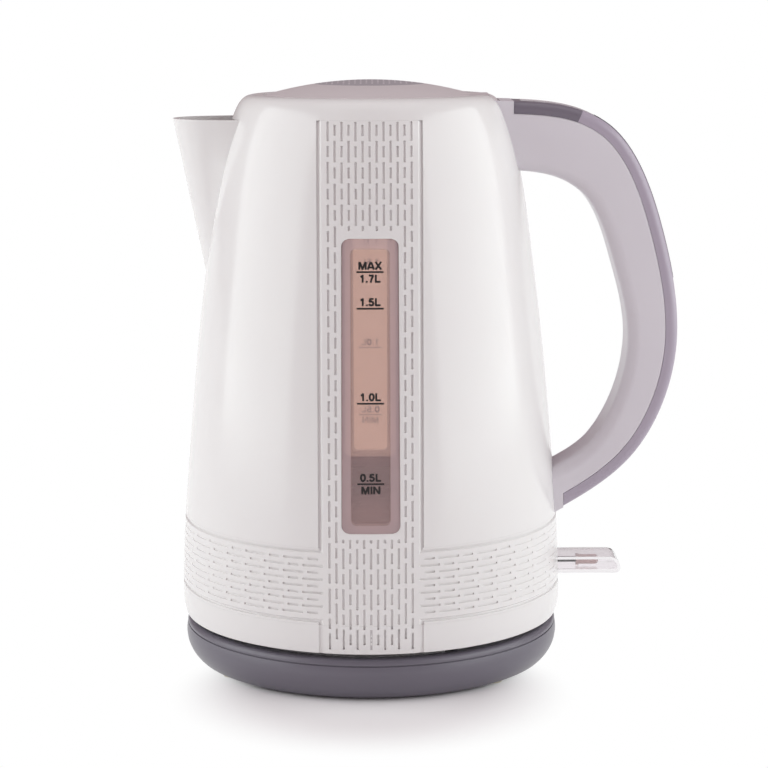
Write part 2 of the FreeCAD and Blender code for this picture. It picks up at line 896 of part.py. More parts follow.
def make_control():
    """Thermostat housing: round block, three posts to the spreader, arm for the steam disc."""
    posts = [rod(control_post_radius, control_top - 1, spreader_under, x, y) for x, y in control_spots()]
    arm = block(0, control_arm_reach, -control_arm_half, control_arm_half, connector_top,
                connector_top + control_arm_thick)
    housing = join(rod(control_radius, connector_top, control_top), arm, *posts)
    seat = connector_top + screw_head_thick + head_recess
    holes = []
    for x, y in control_spots():
        holes.append(rod(screw_radius + screw_gap, connector_top, spreader_under + 1, x, y))
        holes.append(rod(screw_head + set_gap, connector_top - 1, seat, x, y))
    return housing.cut(holes)


def make_control_screws():
    start = connector_top + screw_head_thick + head_recess
    length = plate_under - pilot_roof - set_gap - start
    return group([screw(V(x, y, start), UP, length) for x, y in control_spots()])


def make_spreader():
    disc = rod(spreader_radius, spreader_under, plate_under)
    holes = [rod(screw_radius + screw_gap, spreader_under - 1, plate_under - pilot_roof, x, y)
             for x, y in control_spots()]
    return disc.cut(holes)


def make_bimetal():
    """Snap disc with its horseshoe cut, on the arm of the control."""
    low = connector_top + control_arm_thick
    disc = rod(bimetal_radius, low, low + bimetal_thick, bimetal_x)
    slot = tube(bimetal_slot_outer, bimetal_slot_inner, low - 1, low + overrun, bimetal_x)
    end, half = bimetal_x + bimetal_radius, bimetal_bridge
    bridge = block(bimetal_x, end, -half, half, low - 1, low + overrun)
    return disc.cut(slot.cut(bridge))


def ear_place(side):
    inner = lever_half + ear_gap
    return sorted((side * inner, side * (inner + ear_thick)))


def make_bottom_cover(skins):
    """Underside of the kettle: disc, ring that stands on the tray, two ears for the lever's pin."""
    disc = floor_slab(cover_under, cover_top, skins["weld"])
    stand = tube(stand_radius, stand_radius - stand_width, tray, cover_under + weld_lap)
    ears = []
    for side in (-1, 1):
        y0, y1 = ear_place(side)
        ear = block(lever_pivot_x - ear_half, lever_pivot_x + ear_half, y0, y1, cover_top - weld_lap, pivot_z)
        crown = Part.makeCylinder(ear_half, y1 - y0, V(lever_pivot_x, y0, pivot_z), V(0, 1, 0))
        ears += [ear, crown]
    cover = join(disc, stand, *ears)
    cuts = [rod(connector_radius + swivel_gap, 0, cover_top + 1)]
    cuts.append(cross_rod(lever_pin_radius + pin_gap, belly_radius / 2, lever_pivot_x, pivot_z))
    for x, y in round_array(post_count, post_spot(), math.pi):
        cuts.append(rod(screw_radius + screw_gap, tray - 1, cover_top + 1, x, y))
        cuts.append(rod(screw_head + set_gap, tray - 1, cover_under + head_recess, x, y))
    return cover.cut(cuts)


def make_bottom_screws():
    start = cover_under + head_recess
    length = cover_wall - head_recess + screw_bite
    spots = round_array(post_count, post_spot(), math.pi)
    return group([screw(V(x, y, start), UP, length) for x, y in spots])


# Switch lever

def lever_side(inset, root):
    """Side view of the lever: flat top and bottom, big round at the top of the nose, small one below."""
    low, high = jug_bottom + lever_low + inset, jug_bottom + lever_high - inset
    tip = lever_tip - inset
    big, small = lever_nose_round - inset, max(lever_chin_round - inset, lever_inner_round)
    q = math.sqrt(0.5)
    a, b = V(tip - big, 0, high), V(tip, 0, high - big)
    c, d = V(tip, 0, low + small), V(tip - small, 0, low)
    nose = Part.Arc(a, V(tip - big + big * q, 0, high - big + big * q), b).toShape()
    chin = Part.Arc(c, V(tip - small + small * q, 0, low + small - small * q), d).toShape()
    top, bottom = V(root, 0, high), V(root, 0, low)
    return face_of([line(top, a), nose, line(b, c), chin, line(d, bottom), line(bottom, top)])


def make_lever():
    """Hollow clear paddle with a hub on the pin and a toe towards the control."""
    root = lever_pivot_x + lever_hub_radius + lever_root_gap
    paddle = lever_side(0.0, root).extrude(V(0, 2 * lever_half, 0))
    hollow = lever_side(lever_wall, root - 1).extrude(V(0, 2 * (lever_half - lever_wall), 0))
    paddle.translate(V(0, -lever_half, 0))
    hollow.translate(V(0, lever_wall - lever_half, 0))
    hub = cross_rod(lever_hub_radius, lever_half, lever_pivot_x, pivot_z)
    low, high = pivot_z - lever_web, pivot_z + lever_web
    web = block(lever_pivot_x, root + lever_wall, -lever_half, lever_half, low, high)
    toe = block(lever_pivot_x - lever_hub_radius - lever_toe, lever_pivot_x, -lever_toe_half, lever_toe_half,
                low, pivot_z + lever_web / 2)
    lever = join(paddle.cut(hollow), hub, web, toe)
    return lever.cut(cross_rod(lever_pin_radius + pin_gap, lever_half + 1, lever_pivot_x, pivot_z))


def make_lamp():
    """Indicator lamp inside the lever: domed lens, flange and two leads."""
    z = jug_bottom + (lever_low + lever_high) / 2
    along = V(1, 0, 0)
    lens = Part.makeCylinder(lamp_radius, lamp_length, V(lamp_x, 0, z), along)
    lens = lens.fuse(Part.makeSphere(lamp_radius, V(lamp_x + lamp_length, 0, z)))
    flange = Part.makeCylinder(lamp_flange, lamp_flange_thick, V(lamp_x, 0, z), along)
    leads = [Part.makeCylinder(lead_radius, lead_length, V(lamp_x - lead_length + weld_lap, y, z), along)
             for y in (-lead_spread, lead_spread)]
    return join(lens, flange, *leads)


# Spout filter

def filter_low():
    return jug_bottom + filter_bottom


def make_filter_frame():
    low, high = filter_low(), jug_bottom + filter_top
    plate = block(-filter_x - filter_thick, -filter_x, -filter_half, filter_half, low, high)
    gap = filter_half - filter_border
    near, far = -filter_x + overrun, -filter_x - overrun
    window = block(far, near, -gap, gap, low + filter_border, high - filter_border)
    tab_low, half = high - filter_tab_height, filter_tab_half
    tab = block(-filter_x, -filter_x + filter_tab, -half, half, tab_low, high)
    return join(plate.cut(window), tab)


def make_filter_net():
    """Flat net with rows of slots, set in the filter frame."""
    low, high = filter_low() + filter_border, jug_bottom + filter_top - filter_border
    half = filter_half - filter_border
    middle = -filter_x - filter_thick / 2
    net = block(middle - net_thick / 2, middle + net_thick / 2, -half, half, low, high)
    wide, tall = 2 * half / net_columns, (high - low) / net_rows
    holes = []
    for i in range(net_columns):
        for j in range(net_rows):
            y, z = -half + wide * i + net_bar / 2, low + tall * j + net_bar / 2
            y_end, z_end = y + wide - net_bar, z + tall - net_bar
            holes.append(block(middle - net_thick, middle + net_thick, y, y_end, z, z_end))
    return net.cut(holes)


# Power base

def dish_face(inset, low):
    """Half section of the dish: flat bottom and a swelling side up to the seam."""
    bottom = V(base_bottom_radius - inset, 0, low)
    top = V(base_radius - inset, 0, seam_height)
    middle = (bottom + top) * 0.5 + V(base_belly, 0, 0)
    side = Part.Arc(bottom, middle, top).toShape()
    foot, crown = V(0, 0, low), V(0, 0, seam_height)
    return face_of([side, line(top, crown), line(crown, foot), line(foot, bottom)])


def cord_notch():
    half = cord_notch_width / 2
    return block(-half, half, cord_notch_start, base_radius + overrun, 0, base_bottom + cord_notch_height)


def make_base_lower():
    dish = dish_face(0.0, base_bottom).revolve(ORIGIN, UP, 360)
    dish = dish.cut(dish_face(base_wall, base_bottom + base_wall).revolve(ORIGIN, UP, 360))
    spots = round_array(base_screw_count, base_screw_circle, math.pi / 6)
    posts = [rod(post_radius, base_bottom + weld_lap, tray_under, x, y) for x, y in spots]
    dish = join(dish, *posts)
    cuts = [cord_notch()]
    for x, y in foot_spots():
        cuts.append(rod(foot_radius + set_gap, 0, base_bottom + foot_recess, x, y))
    for x, y in spots:
        cuts.append(rod(screw_radius + screw_gap, 0, tray_under + 1, x, y))
        cuts.append(rod(screw_head + set_gap, 0, base_bottom + screw_head_thick + head_recess, x, y))
    return dish.cut(cuts)


def make_base_upper():
    """Tray with a rounded rim, a lip inside the dish, a shadow line at the seam and a hole for the boss."""
    hole = boss_radius + set_gap
    inner = base_radius - rim_width
    lip = base_radius - base_wall - lip_gap
    shoulder = V(base_radius - rim_round, 0, rim_height)
    line_radius, line_top = base_radius - seam_line_depth, seam_height + seam_line
    start, rise = V(base_radius, 0, line_top), V(base_radius, 0, rim_height - rim_round)
    cut_back = rim_round * (1 - math.sqrt(0.5))
    bend = V(base_radius - cut_back, 0, rim_height - cut_back)
    corners = [shoulder, V(inner, 0, rim_height), V(inner - rim_slope, 0, tray), V(hole, 0, tray),
               V(hole, 0, tray_under), V(lip, 0, tray_under), V(lip, 0, seam_height),
               V(line_radius, 0, seam_height), V(line_radius, 0, line_top), start]
    edges = [line(a, b) for a, b in zip(corners, corners[1:])]
    edges += [line(start, rise), Part.Arc(rise, bend, shoulder).toShape()]
    shell = face_of(edges).revolve(ORIGIN, UP, 360)
    pilots = [rod(screw_radius + screw_gap, tray_under - 1, tray - pilot_roof, x, y)
              for x, y in round_array(base_screw_count, base_screw_circle, math.pi / 6)]
    return shell.cut(pilots)


def make_base_screws():
    start = base_bottom + screw_head_thick + head_recess
    length = tray - pilot_roof - set_gap - start
    spots = round_array(base_screw_count, base_screw_circle, math.pi / 6)
    return group([screw(V(x, y, start), UP, length) for x, y in spots])


def foot_spots():
    """Two feet at the front and two at the back, spread either side of the base's own middle line."""
    spots = []
    for middle in (-90.0, 90.0):
        for side in (-1, 1):
            angle = math.radians(middle + foot_turn + side * foot_spread)
            spots.append((foot_circle * math.cos(angle), foot_circle * math.sin(angle)))
    return spots


def make_feet():
    return group([rod(foot_radius, 0, base_bottom + foot_recess, x, y) for x, y in foot_spots()])


def make_base_connector():
    """Socket boss: flange under the tray, round post with an earth bore and a ring slot."""
    flange = rod(boss_radius + boss_flange, tray_under - boss_flange_thick, tray_under)
    post = rod(boss_radius, tray_under - weld_lap, boss_top)
    rim = [e for e in post.Edges if abs(e.BoundBox.ZMax - boss_top) < 0.01 and e.BoundBox.ZLength < 0.01]
    post = post.makeFillet(boss_round, rim)
    bore = rod(boss_bore, tray, boss_top + 1)
    slot = tube(slot_outer, slot_inner, tray + slot_floor, boss_top + 1)
    return join(flange, post).cut([bore, slot])


def make_base_contact():
    outer = slot_outer - contact_gap
    return tube(outer, outer - contact_thick, tray + slot_floor, boss_top - earth_pin_below_top)


def make_earth_pin():
    top = boss_top - earth_pin_below_top - earth_pin_radius
    return join(rod(earth_pin_radius, tray, top), Part.makeSphere(earth_pin_radius, V(0, 0, top)))


# Connector under the kettle

def make_connector():
    """Round socket that drops over the boss, with a sleeve for the earth pin."""
    cavity = boss_radius + swivel_gap
    roof = boss_top + roof_gap
    body = rod(connector_radius, connector_bottom, connector_top).cut(rod(cavity, connector_bottom - 1, roof))
    sleeve = tube(boss_bore - swivel_gap, earth_pin_radius + swivel_gap, tray + slot_floor, roof + weld_lap)
    return join(body, sleeve)


def make_kettle_contact():
    inner = slot_inner + swivel_gap
    return tube(inner + contact_thick, inner, tray + 2 * slot_floor, boss_top + roof_gap)


def main():
    os.makedirs("parts", exist_ok=True)
    skins = {"outer": jug_solid(0.0), "inner": jug_solid(jug_wall), "weld": jug_solid(jug_wall + weld_gap),
             "sunk": jug_solid(window_sink), "flange": jug_solid(jug_wall + window_flange_thick),
             "panel": jug_solid(window_sink - window_panel_rise), "band": jug_solid(band_depth)}

    save("base_lower_shell", make_base_lower())
    save("base_upper_shell", make_base_upper())
    save("base_connector", make_base_connector())
    save("base_contact_ring", make_base_contact())
    save("base_earth_pin", make_earth_pin())
    save("base_feet", make_feet())
    save("base_screws", make_base_screws())

    save("kettle_connector", make_connector())
    save("kettle_contact_ring", make_kettle_contact())

    save("body_shell", make_jug(skins))
    front_window = make_front_window(skins)
    save("front_window", front_window)
    save("rear_window", front_window.mirror(ORIGIN, V(0, 1, 0)))
    save("handle_frame", make_handle_frame(skins))
    save("handle_cover", make_handle_cover())
    save("grip_pad", make_grip_pad())
    save("handle_screws", make_handle_screws())

    save("floor_ring", make_floor_ring(skins))
    save("plate_seal", tube(plate_radius, plate_radius - seal_width, ring_top, plate_under))
    save("heating_plate", rod(plate_radius, plate_under, plate_top))
    save("heat_spreader", make_spreader())
    save("heating_element", make_element())
    save("control_housing", make_control())
    save("control_screws", make_control_screws())
    save("steam_bimetal", make_bimetal())
    save("steam_tube", slant_rod(tube_radius).cut(slant_rod(tube_radius - tube_wall, 1.0)))
    save("bottom_cover", make_bottom_cover(skins))
    save("bottom_screws", make_bottom_screws())

    save("filter_frame", make_filter_frame())
    save("filter_net", make_filter_net())

    save("lid_cover", make_lid_cover(skins))
    save("lid_inset", make_lid_inset())
    save("lid_cup", make_lid_cup())
    save("lid_seal", make_lid_seal())
    save("lid_hinge_pin", cross_rod(hinge_pin_radius, hinge_pin_half(), hinge_x, hinge_z))

    save("lid_release_button", make_button())
    save("catch_slider", make_slider())
    save("catch_spring", make_spring())

    save("switch_lever", make_lever())
    save("lever_pin", cross_rod(lever_pin_radius, lever_half + ear_gap + ear_thick, lever_pivot_x, pivot_z))
    save("indicator_lamp", make_lamp())


main()
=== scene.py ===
import math

import bpy
import numpy as np
from mathutils import Matrix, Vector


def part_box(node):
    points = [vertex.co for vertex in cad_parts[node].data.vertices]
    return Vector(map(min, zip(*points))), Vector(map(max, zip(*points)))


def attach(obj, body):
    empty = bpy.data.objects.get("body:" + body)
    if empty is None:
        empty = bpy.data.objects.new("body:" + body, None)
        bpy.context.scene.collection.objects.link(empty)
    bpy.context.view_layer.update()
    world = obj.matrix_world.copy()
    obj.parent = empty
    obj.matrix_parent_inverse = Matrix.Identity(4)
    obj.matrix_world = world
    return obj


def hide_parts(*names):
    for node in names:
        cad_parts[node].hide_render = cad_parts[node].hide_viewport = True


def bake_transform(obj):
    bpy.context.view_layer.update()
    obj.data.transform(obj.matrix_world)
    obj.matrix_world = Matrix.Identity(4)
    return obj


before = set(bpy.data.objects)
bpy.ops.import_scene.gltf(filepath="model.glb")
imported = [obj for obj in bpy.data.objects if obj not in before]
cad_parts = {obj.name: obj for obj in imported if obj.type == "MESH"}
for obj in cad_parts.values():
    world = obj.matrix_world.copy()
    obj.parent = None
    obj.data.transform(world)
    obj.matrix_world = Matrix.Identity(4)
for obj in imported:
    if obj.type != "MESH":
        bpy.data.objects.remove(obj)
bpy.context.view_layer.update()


# Power base: a dish and a tray, two injection-moulded shells of mid-grey ABS that clip at a
# shadow line and are held by three screws from below. The tool was lightly spark-eroded, so the
# skin is satin: a broad soft highlight with a grain too fine to count.

def linear(code):
    """Linear colour of an sRGB hex code, each channel taken through the sRGB curve."""
    c = np.array([int(code[i:i + 2], 16) for i in (1, 3, 5)]) / 255
    c = np.where(c <= 0.04045, c / 12.92, ((c + 0.055) / 1.055) ** 2.4)
    return (*c.tolist(), 1.0)


def add(material, kind, settings, links=()):
    """Adds a node; settings go to its inputs or properties by name, links join inputs to sockets."""
    made = material.node_tree.nodes.new(kind)
    for name, value in settings.items():
        if isinstance(name, int) or name in made.inputs:
            made.inputs[name].default_value = value
        else:
            setattr(made, name, value)
    for name, socket in links:
        material.node_tree.links.new(socket, made.inputs[name])
    return made


def per_mm(size):
    """Texture scale on coordinates in metres that gives features of this size in millimetres."""
    return 1000.0 / size


def moulded(name, light, dark, gloss, grain, relief, cloud=45.0, spread=0.1, **surface):
    """Moulded plastic: tone drifts between two near colours over the cloud size, or is one colour all
    over, and a grain varies the roughness by its spread and lifts the skin by relief millimetres. The
    real grain is mostly too fine to show, so its size is given as coarse as it needs to be."""
    material = bpy.data.materials.new(name)
    material.use_nodes = True
    link = material.node_tree.links.new
    shader = material.node_tree.nodes["Principled BSDF"]
    for socket, value in surface.items():
        shader.inputs[socket.replace("_", " ")].default_value = value
    place = add(material, "ShaderNodeTexCoord", {}).outputs["Object"]
    if light == dark:
        shader.inputs["Base Color"].default_value = linear(light)
    else:
        drift = add(material, "ShaderNodeTexNoise", {"Scale": per_mm(cloud), "Detail": 2.0},
                    [("Vector", place)])
        tone = add(material, "ShaderNodeMix", {"data_type": "RGBA", 6: linear(light), 7: linear(dark)},
                   [(0, drift.outputs["Fac"])])
        link(tone.outputs[2], shader.inputs["Base Color"])
    pits = add(material, "ShaderNodeTexNoise", {"Scale": per_mm(grain), "Detail": 3.0},
               [("Vector", place)])
    skin = add(material, "ShaderNodeMapRange",
               {"To Min": gloss * (1 - spread), "To Max": gloss * (1 + spread)},
               [("Value", pits.outputs["Fac"])])
    lift = add(material, "ShaderNodeBump", {"Strength": 1.0, "Distance": relief / 1000.0},
               [("Height", pits.outputs["Fac"])])
    link(skin.outputs["Result"], shader.inputs["Roughness"])
    link(lift.outputs["Normal"], shader.inputs["Normal"])
    return material


def dress(material, *nodes):
    """Puts one material on every slot of the named CAD nodes."""
    for name in nodes:
        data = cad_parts[name].data
        data.materials.clear()
        data.materials.append(material)


satin_abs = moulded("grey_ABS_satin_moulded", "#6E6A75", "#68646F", 0.34, 0.5, 0.008, IOR=1.53)
dress(satin_abs, "base_lower_shell", "base_upper_shell")


# Feet and base screws: four clear soft PVC buttons set in round recesses under the dish, and
# turned steel screws with zinc plating, which gives them a dull bluish shine. The feet look
# faintly yellow because the soft PVC ages that way.

soft_pvc = moulded("clear_soft_PVC", "#D8D2BE", "#CEC6AE", 0.35, 0.6, 0.01, IOR=1.53,
                   Transmission_Weight=0.45)
dress(soft_pvc, "base_feet")


def metal(name, light, dark, gloss, grain, stretch, spread=0.3):
    """Worked metal: tone and roughness follow noise drawn out along the working direction, the
    roughness by its spread to both sides of the gloss."""
    material = bpy.data.materials.new(name)
    material.use_nodes = True
    shader = material.node_tree.nodes["Principled BSDF"]
    shader.inputs["Metallic"].default_value = 1.0
    place = add(material, "ShaderNodeTexCoord", {}).outputs["Object"]
    drawn = add(material, "ShaderNodeMapping", {"Scale": stretch}, [("Vector", place)])
    lines = add(material, "ShaderNodeTexNoise", {"Scale": per_mm(grain), "Detail": 4.0},
                [("Vector", drawn.outputs["Vector"])])
    tone = add(material, "ShaderNodeMix", {"data_type": "RGBA", 6: linear(light), 7: linear(dark)},
               [(0, lines.outputs["Fac"])])
    skin = add(material, "ShaderNodeMapRange",
               {"To Min": gloss * (1 - spread), "To Max": gloss * (1 + spread)},
               [("Value", lines.outputs["Fac"])])
    material.node_tree.links.new(tone.outputs[2], shader.inputs["Base Color"])
    material.node_tree.links.new(skin.outputs["Result"], shader.inputs["Roughness"])
    return material


zinc_steel = metal("zinc_plated_steel_turned", "#B9BBBF", "#9FA2A8", 0.32, 0.8, (1, 1, 1))
dress(zinc_steel, "base_screws", "handle_screws", "control_screws", "bottom_screws")


# Plug and socket of the base: black glass-filled nylon mouldings with brass contact rings and a
# brass earth pin. The nylon is matt with a dry grain, the brass is drawn and a little dulled.

filled_nylon = moulded("black_glass_filled_nylon", "#26252A", "#1F1E22", 0.5, 0.7, 0.02, IOR=1.53)
dress(filled_nylon, "base_connector", "kettle_connector", "control_housing")
drawn_brass = metal("drawn_brass", "#CDA85E", "#B48D46", 0.28, 0.5, (1, 1, 0.1))
dress(drawn_brass, "base_contact_ring", "base_earth_pin", "kettle_contact_ring")


# Jug: one white polypropylene moulding with spout and neck, polished in the tool, so strip lights
# show as long clean reflections along both sides. The inside parts that are clipped or welded to
# it come from the same resin: floor ring, bottom cover, lid cup, filter frame, steam tube.

gloss_pp = moulded("white_polypropylene_polished", "#EEEDEC", "#EBE9E9", 0.17, 1.6, 0.004,
                   IOR=1.49, Subsurface_Weight=0.04, Subsurface_Radius=(0.002, 0.0018, 0.0016))
dress(gloss_pp, "body_shell", "floor_ring", "bottom_cover", "lid_cup", "filter_frame", "steam_tube")


# Bands: a cross of ribbed grip texture on both faces of the jug, upright and round the foot. Each
# is a field of short and long dashes milled into the tool in staggered lines, all cut square to the
# front, and a groove with a sloped inner side borders it.

jug_bottom = 20.0
stations = np.array([[77.5, 0.0, 0.30, 0.8842], [78.6, 8.0, 0.0, 1.1043], [75.3, 66.0, -0.085, 0.9896],
                     [67.6, 140.5, -0.135, 0.9983], [56.2, 203.0, -0.36, 0.8775]])
shoulder_top = np.array([47.0, 213.5])
shoulder_rise, shoulder_run = 0.62, 0.55
span_steps = 160


def jug_line():
    """Radius and height up the jug's side: cubic Hermite spans between stations of radius, height,
    slope and pull, each span as long as its chord, then one cubic Bezier over the shoulder."""
    u = np.linspace(0.0, 1.0, span_steps)[:, None, None]
    point = stations[:, :2]
    pull = stations[:, 3:] * np.stack([stations[:, 2], np.ones(len(stations))], axis=1)
    chord = np.linalg.norm(np.diff(point, axis=0), axis=1)[:, None]
    side = ((2 * u ** 3 - 3 * u ** 2 + 1) * point[:-1] + (u ** 3 - 2 * u ** 2 + u) * chord * pull[:-1]
            + (3 * u ** 2 - 2 * u ** 3) * point[1:] + (u ** 3 - u ** 2) * chord * pull[1:])
    side = side.transpose(1, 0, 2).reshape(-1, 2)
    rise = (shoulder_top[1] - point[-1, 1]) * shoulder_rise
    run = (point[-1, 0] - shoulder_top[0]) * shoulder_run
    poles = [point[-1], point[-1] + rise * np.array([stations[-1, 2], 1.0]),
             shoulder_top + np.array([run, 0.0]), shoulder_top]
    v = u[:, :, 0]
    arch = ((1 - v) ** 3 * poles[0] + 3 * v * (1 - v) ** 2 * poles[1]
            + 3 * v ** 2 * (1 - v) * poles[2] + v ** 3 * poles[3])
    return np.concatenate([side, arch[1:]])


side_line = jug_line()


def jug_radius(height):
    """Outer radius of the jug at a height above its bottom edge, read off the side line."""
    return np.interp(height, side_line[:, 1], side_line[:, 0])


def wrapped(x, height, lift, turn):
    """Points at X and height on the jug's side line, lifted off it, on the front or turned to the rear:
    Y is the root of the lifted radius squared less X squared."""
    y = -np.sqrt((jug_radius(height) + lift) ** 2 - x ** 2)
    return np.stack([x * turn, y * turn, height + jug_bottom], axis=-1).reshape(-1, 3)


def put(name, points, faces, material, sharp=35.0):
    """Makes a mesh object from points in millimetres, leaving out points that no face uses. It is shaded
    smooth, apart from edges with a bend of more than the sharp angle in degrees."""
    used, faces = np.unique(np.asarray(faces), return_inverse=True)
    mesh = bpy.data.meshes.new(name)
    mesh.from_pydata(points[used] / 1000.0, [], faces.reshape(-1, 4).tolist())
    mesh.shade_smooth()
    mesh.set_sharp_from_angle(angle=math.radians(sharp))
    mesh.materials.append(material)
    made = bpy.data.objects.new(name, mesh)
    bpy.context.scene.collection.objects.link(made)
    return made


def sheet_faces(keep):
    """Quads of a closed sheet: kept cells of the outer grid, the same cells of the inner grid turned
    over, and a wall along every edge where a kept cell has no kept neighbour."""
    rows, columns = keep.shape[0] + 1, keep.shape[1] + 1
    index = np.arange(rows * columns).reshape(rows, columns)
    cells = np.stack([index[:-1, :-1], index[:-1, 1:], index[1:, 1:], index[1:, :-1]], axis=-1)
    faces = [cells[keep], cells[keep][:, ::-1] + rows * columns]
    framed = np.pad(keep, 1)
    sides = [framed[:-2, 1:-1], framed[1:-1, 2:], framed[2:, 1:-1], framed[1:-1, :-2]]
    for corner, neighbour in enumerate(sides):
        free = cells[keep & ~neighbour]
        a, b = free[:, corner], free[:, (corner + 1) % 4]
        faces.append(np.stack([b, a, a + rows * columns, b + rows * columns], axis=1))
    return np.concatenate(faces)


band_low, band_top, band_edge_low, band_edge_top = 11.5, 205.5, 20.4, 20.5
border_floor, border_slope, border_depth = 1.0, 0.8, 0.85
strip_drop, strip_back, strip_trim = 0.02, 1.3, 0.03
border_insets = (strip_trim, border_floor, border_floor + border_slope)
dash_mouth, dash_floor, dash_depth, dash_ramp = 0.45, 0.35, 0.7, 0.2
dash_lines = np.array([-dash_mouth, -dash_floor, dash_floor, dash_mouth])
grid_slack, grid_gap, same_place = 0.03, 0.02, 1e-6
long_half, short_half = 4.1, 2.1


def band_edge(height):
    """Half width of the upright band, a straight taper."""
    return np.interp(height, [band_low, band_top], [band_edge_low, band_edge_top])


def dash_ends(middles, long_first, low, high):
    """Start and end of dashes at these middles, long and short in turn, cut off at low and high."""
    turn = np.arange(len(middles)) % 2 == (0 if long_first else 1)
    half = np.where(turn, long_half, short_half)
    ends = np.clip(np.stack([middles - half, middles + half], axis=1), low, high)
    return ends[ends[:, 1] - ends[:, 0] > 3 * dash_ramp]


def dash_stops(ends):
    """Grid lines that dashes need: both ends, and where each end's ramp reaches the floor."""
    return np.concatenate([ends[:, 0], ends[:, 0] + dash_ramp, ends[:, 1] - dash_ramp, ends[:, 1]])


def on_floor(value, ends):
    """Tells which of the values lie on the floor of a dash, or closer to it than the grid's slack."""
    past_start = value[:, None] > ends[:, 0] + dash_ramp - grid_slack
    inside = past_start & (value[:, None] < ends[:, 1] - dash_ramp + grid_slack)
    return inside.any(axis=1)


def thinned(lines):
    """Sorted grid lines, rounded to a micrometre, without those closer than the gap to the one before."""
    lines = np.unique(np.round(lines, 3))
    return lines[np.concatenate([[True], np.diff(lines) > grid_gap])]


column_pitch, column_count = 2.68, 13
column_kinds = np.array([3, 2, 0, 1, 0, 1, 0, 1, 0, 1, 0, 2, 3])
column_past_low, column_short_of_top = 1.0, 0.4
below_first, below_beat, above_first, above_beat, column_beats = 6.1, 8.01, 161.9, 8.0, 6
beside_turns, beside_heights = [0, 5, 20, 24], [8.35, 48.2, 169.85, 201.9]
edge_foot = np.array([[10.5, 14.4], [16.4, 26.2], [28.1, 32.2], [34.1, 44.2]])
window_low, window_high, window_half_low, window_half_top = 47.8, 161.0, 11.4, 11.05
window_round, window_chamfer, window_margin, window_lip = 3.2, 0.45, 1.0, 0.15
corner_steps, corner_past_side, corner_past_end, corner_fade, never_zero = 6, 1.6, 2.4, 1.5, 1e-9
clear_low, clear_high = 45.6, 164.0
pane_front, pane_beside, pane_below, pane_above = 0.45, 0.3, 1.3, 0.7


def upright_dashes():
    """Dashes of the four kinds of column: even and odd ones that stop at the window, the one beside
    it, and the edge one, whose lowest dashes are longer."""
    low, high = band_low - column_past_low, band_top - column_short_of_top
    beat = np.arange(column_beats)
    below, above = below_first + below_beat * beat, above_first + above_beat * beat
    kinds = [np.concatenate([dash_ends(below, first, low, clear_low),
                             dash_ends(above, not first, clear_high, high)])
             for first in (True, False)]
    beside = np.interp(np.arange(beside_turns[-1] + 1), beside_turns, beside_heights)
    kinds.append(dash_ends(beside, False, low, high))
    kinds.append(np.concatenate([edge_foot, dash_ends(beside[beside_turns[1]:], False, low, high)]))
    return kinds


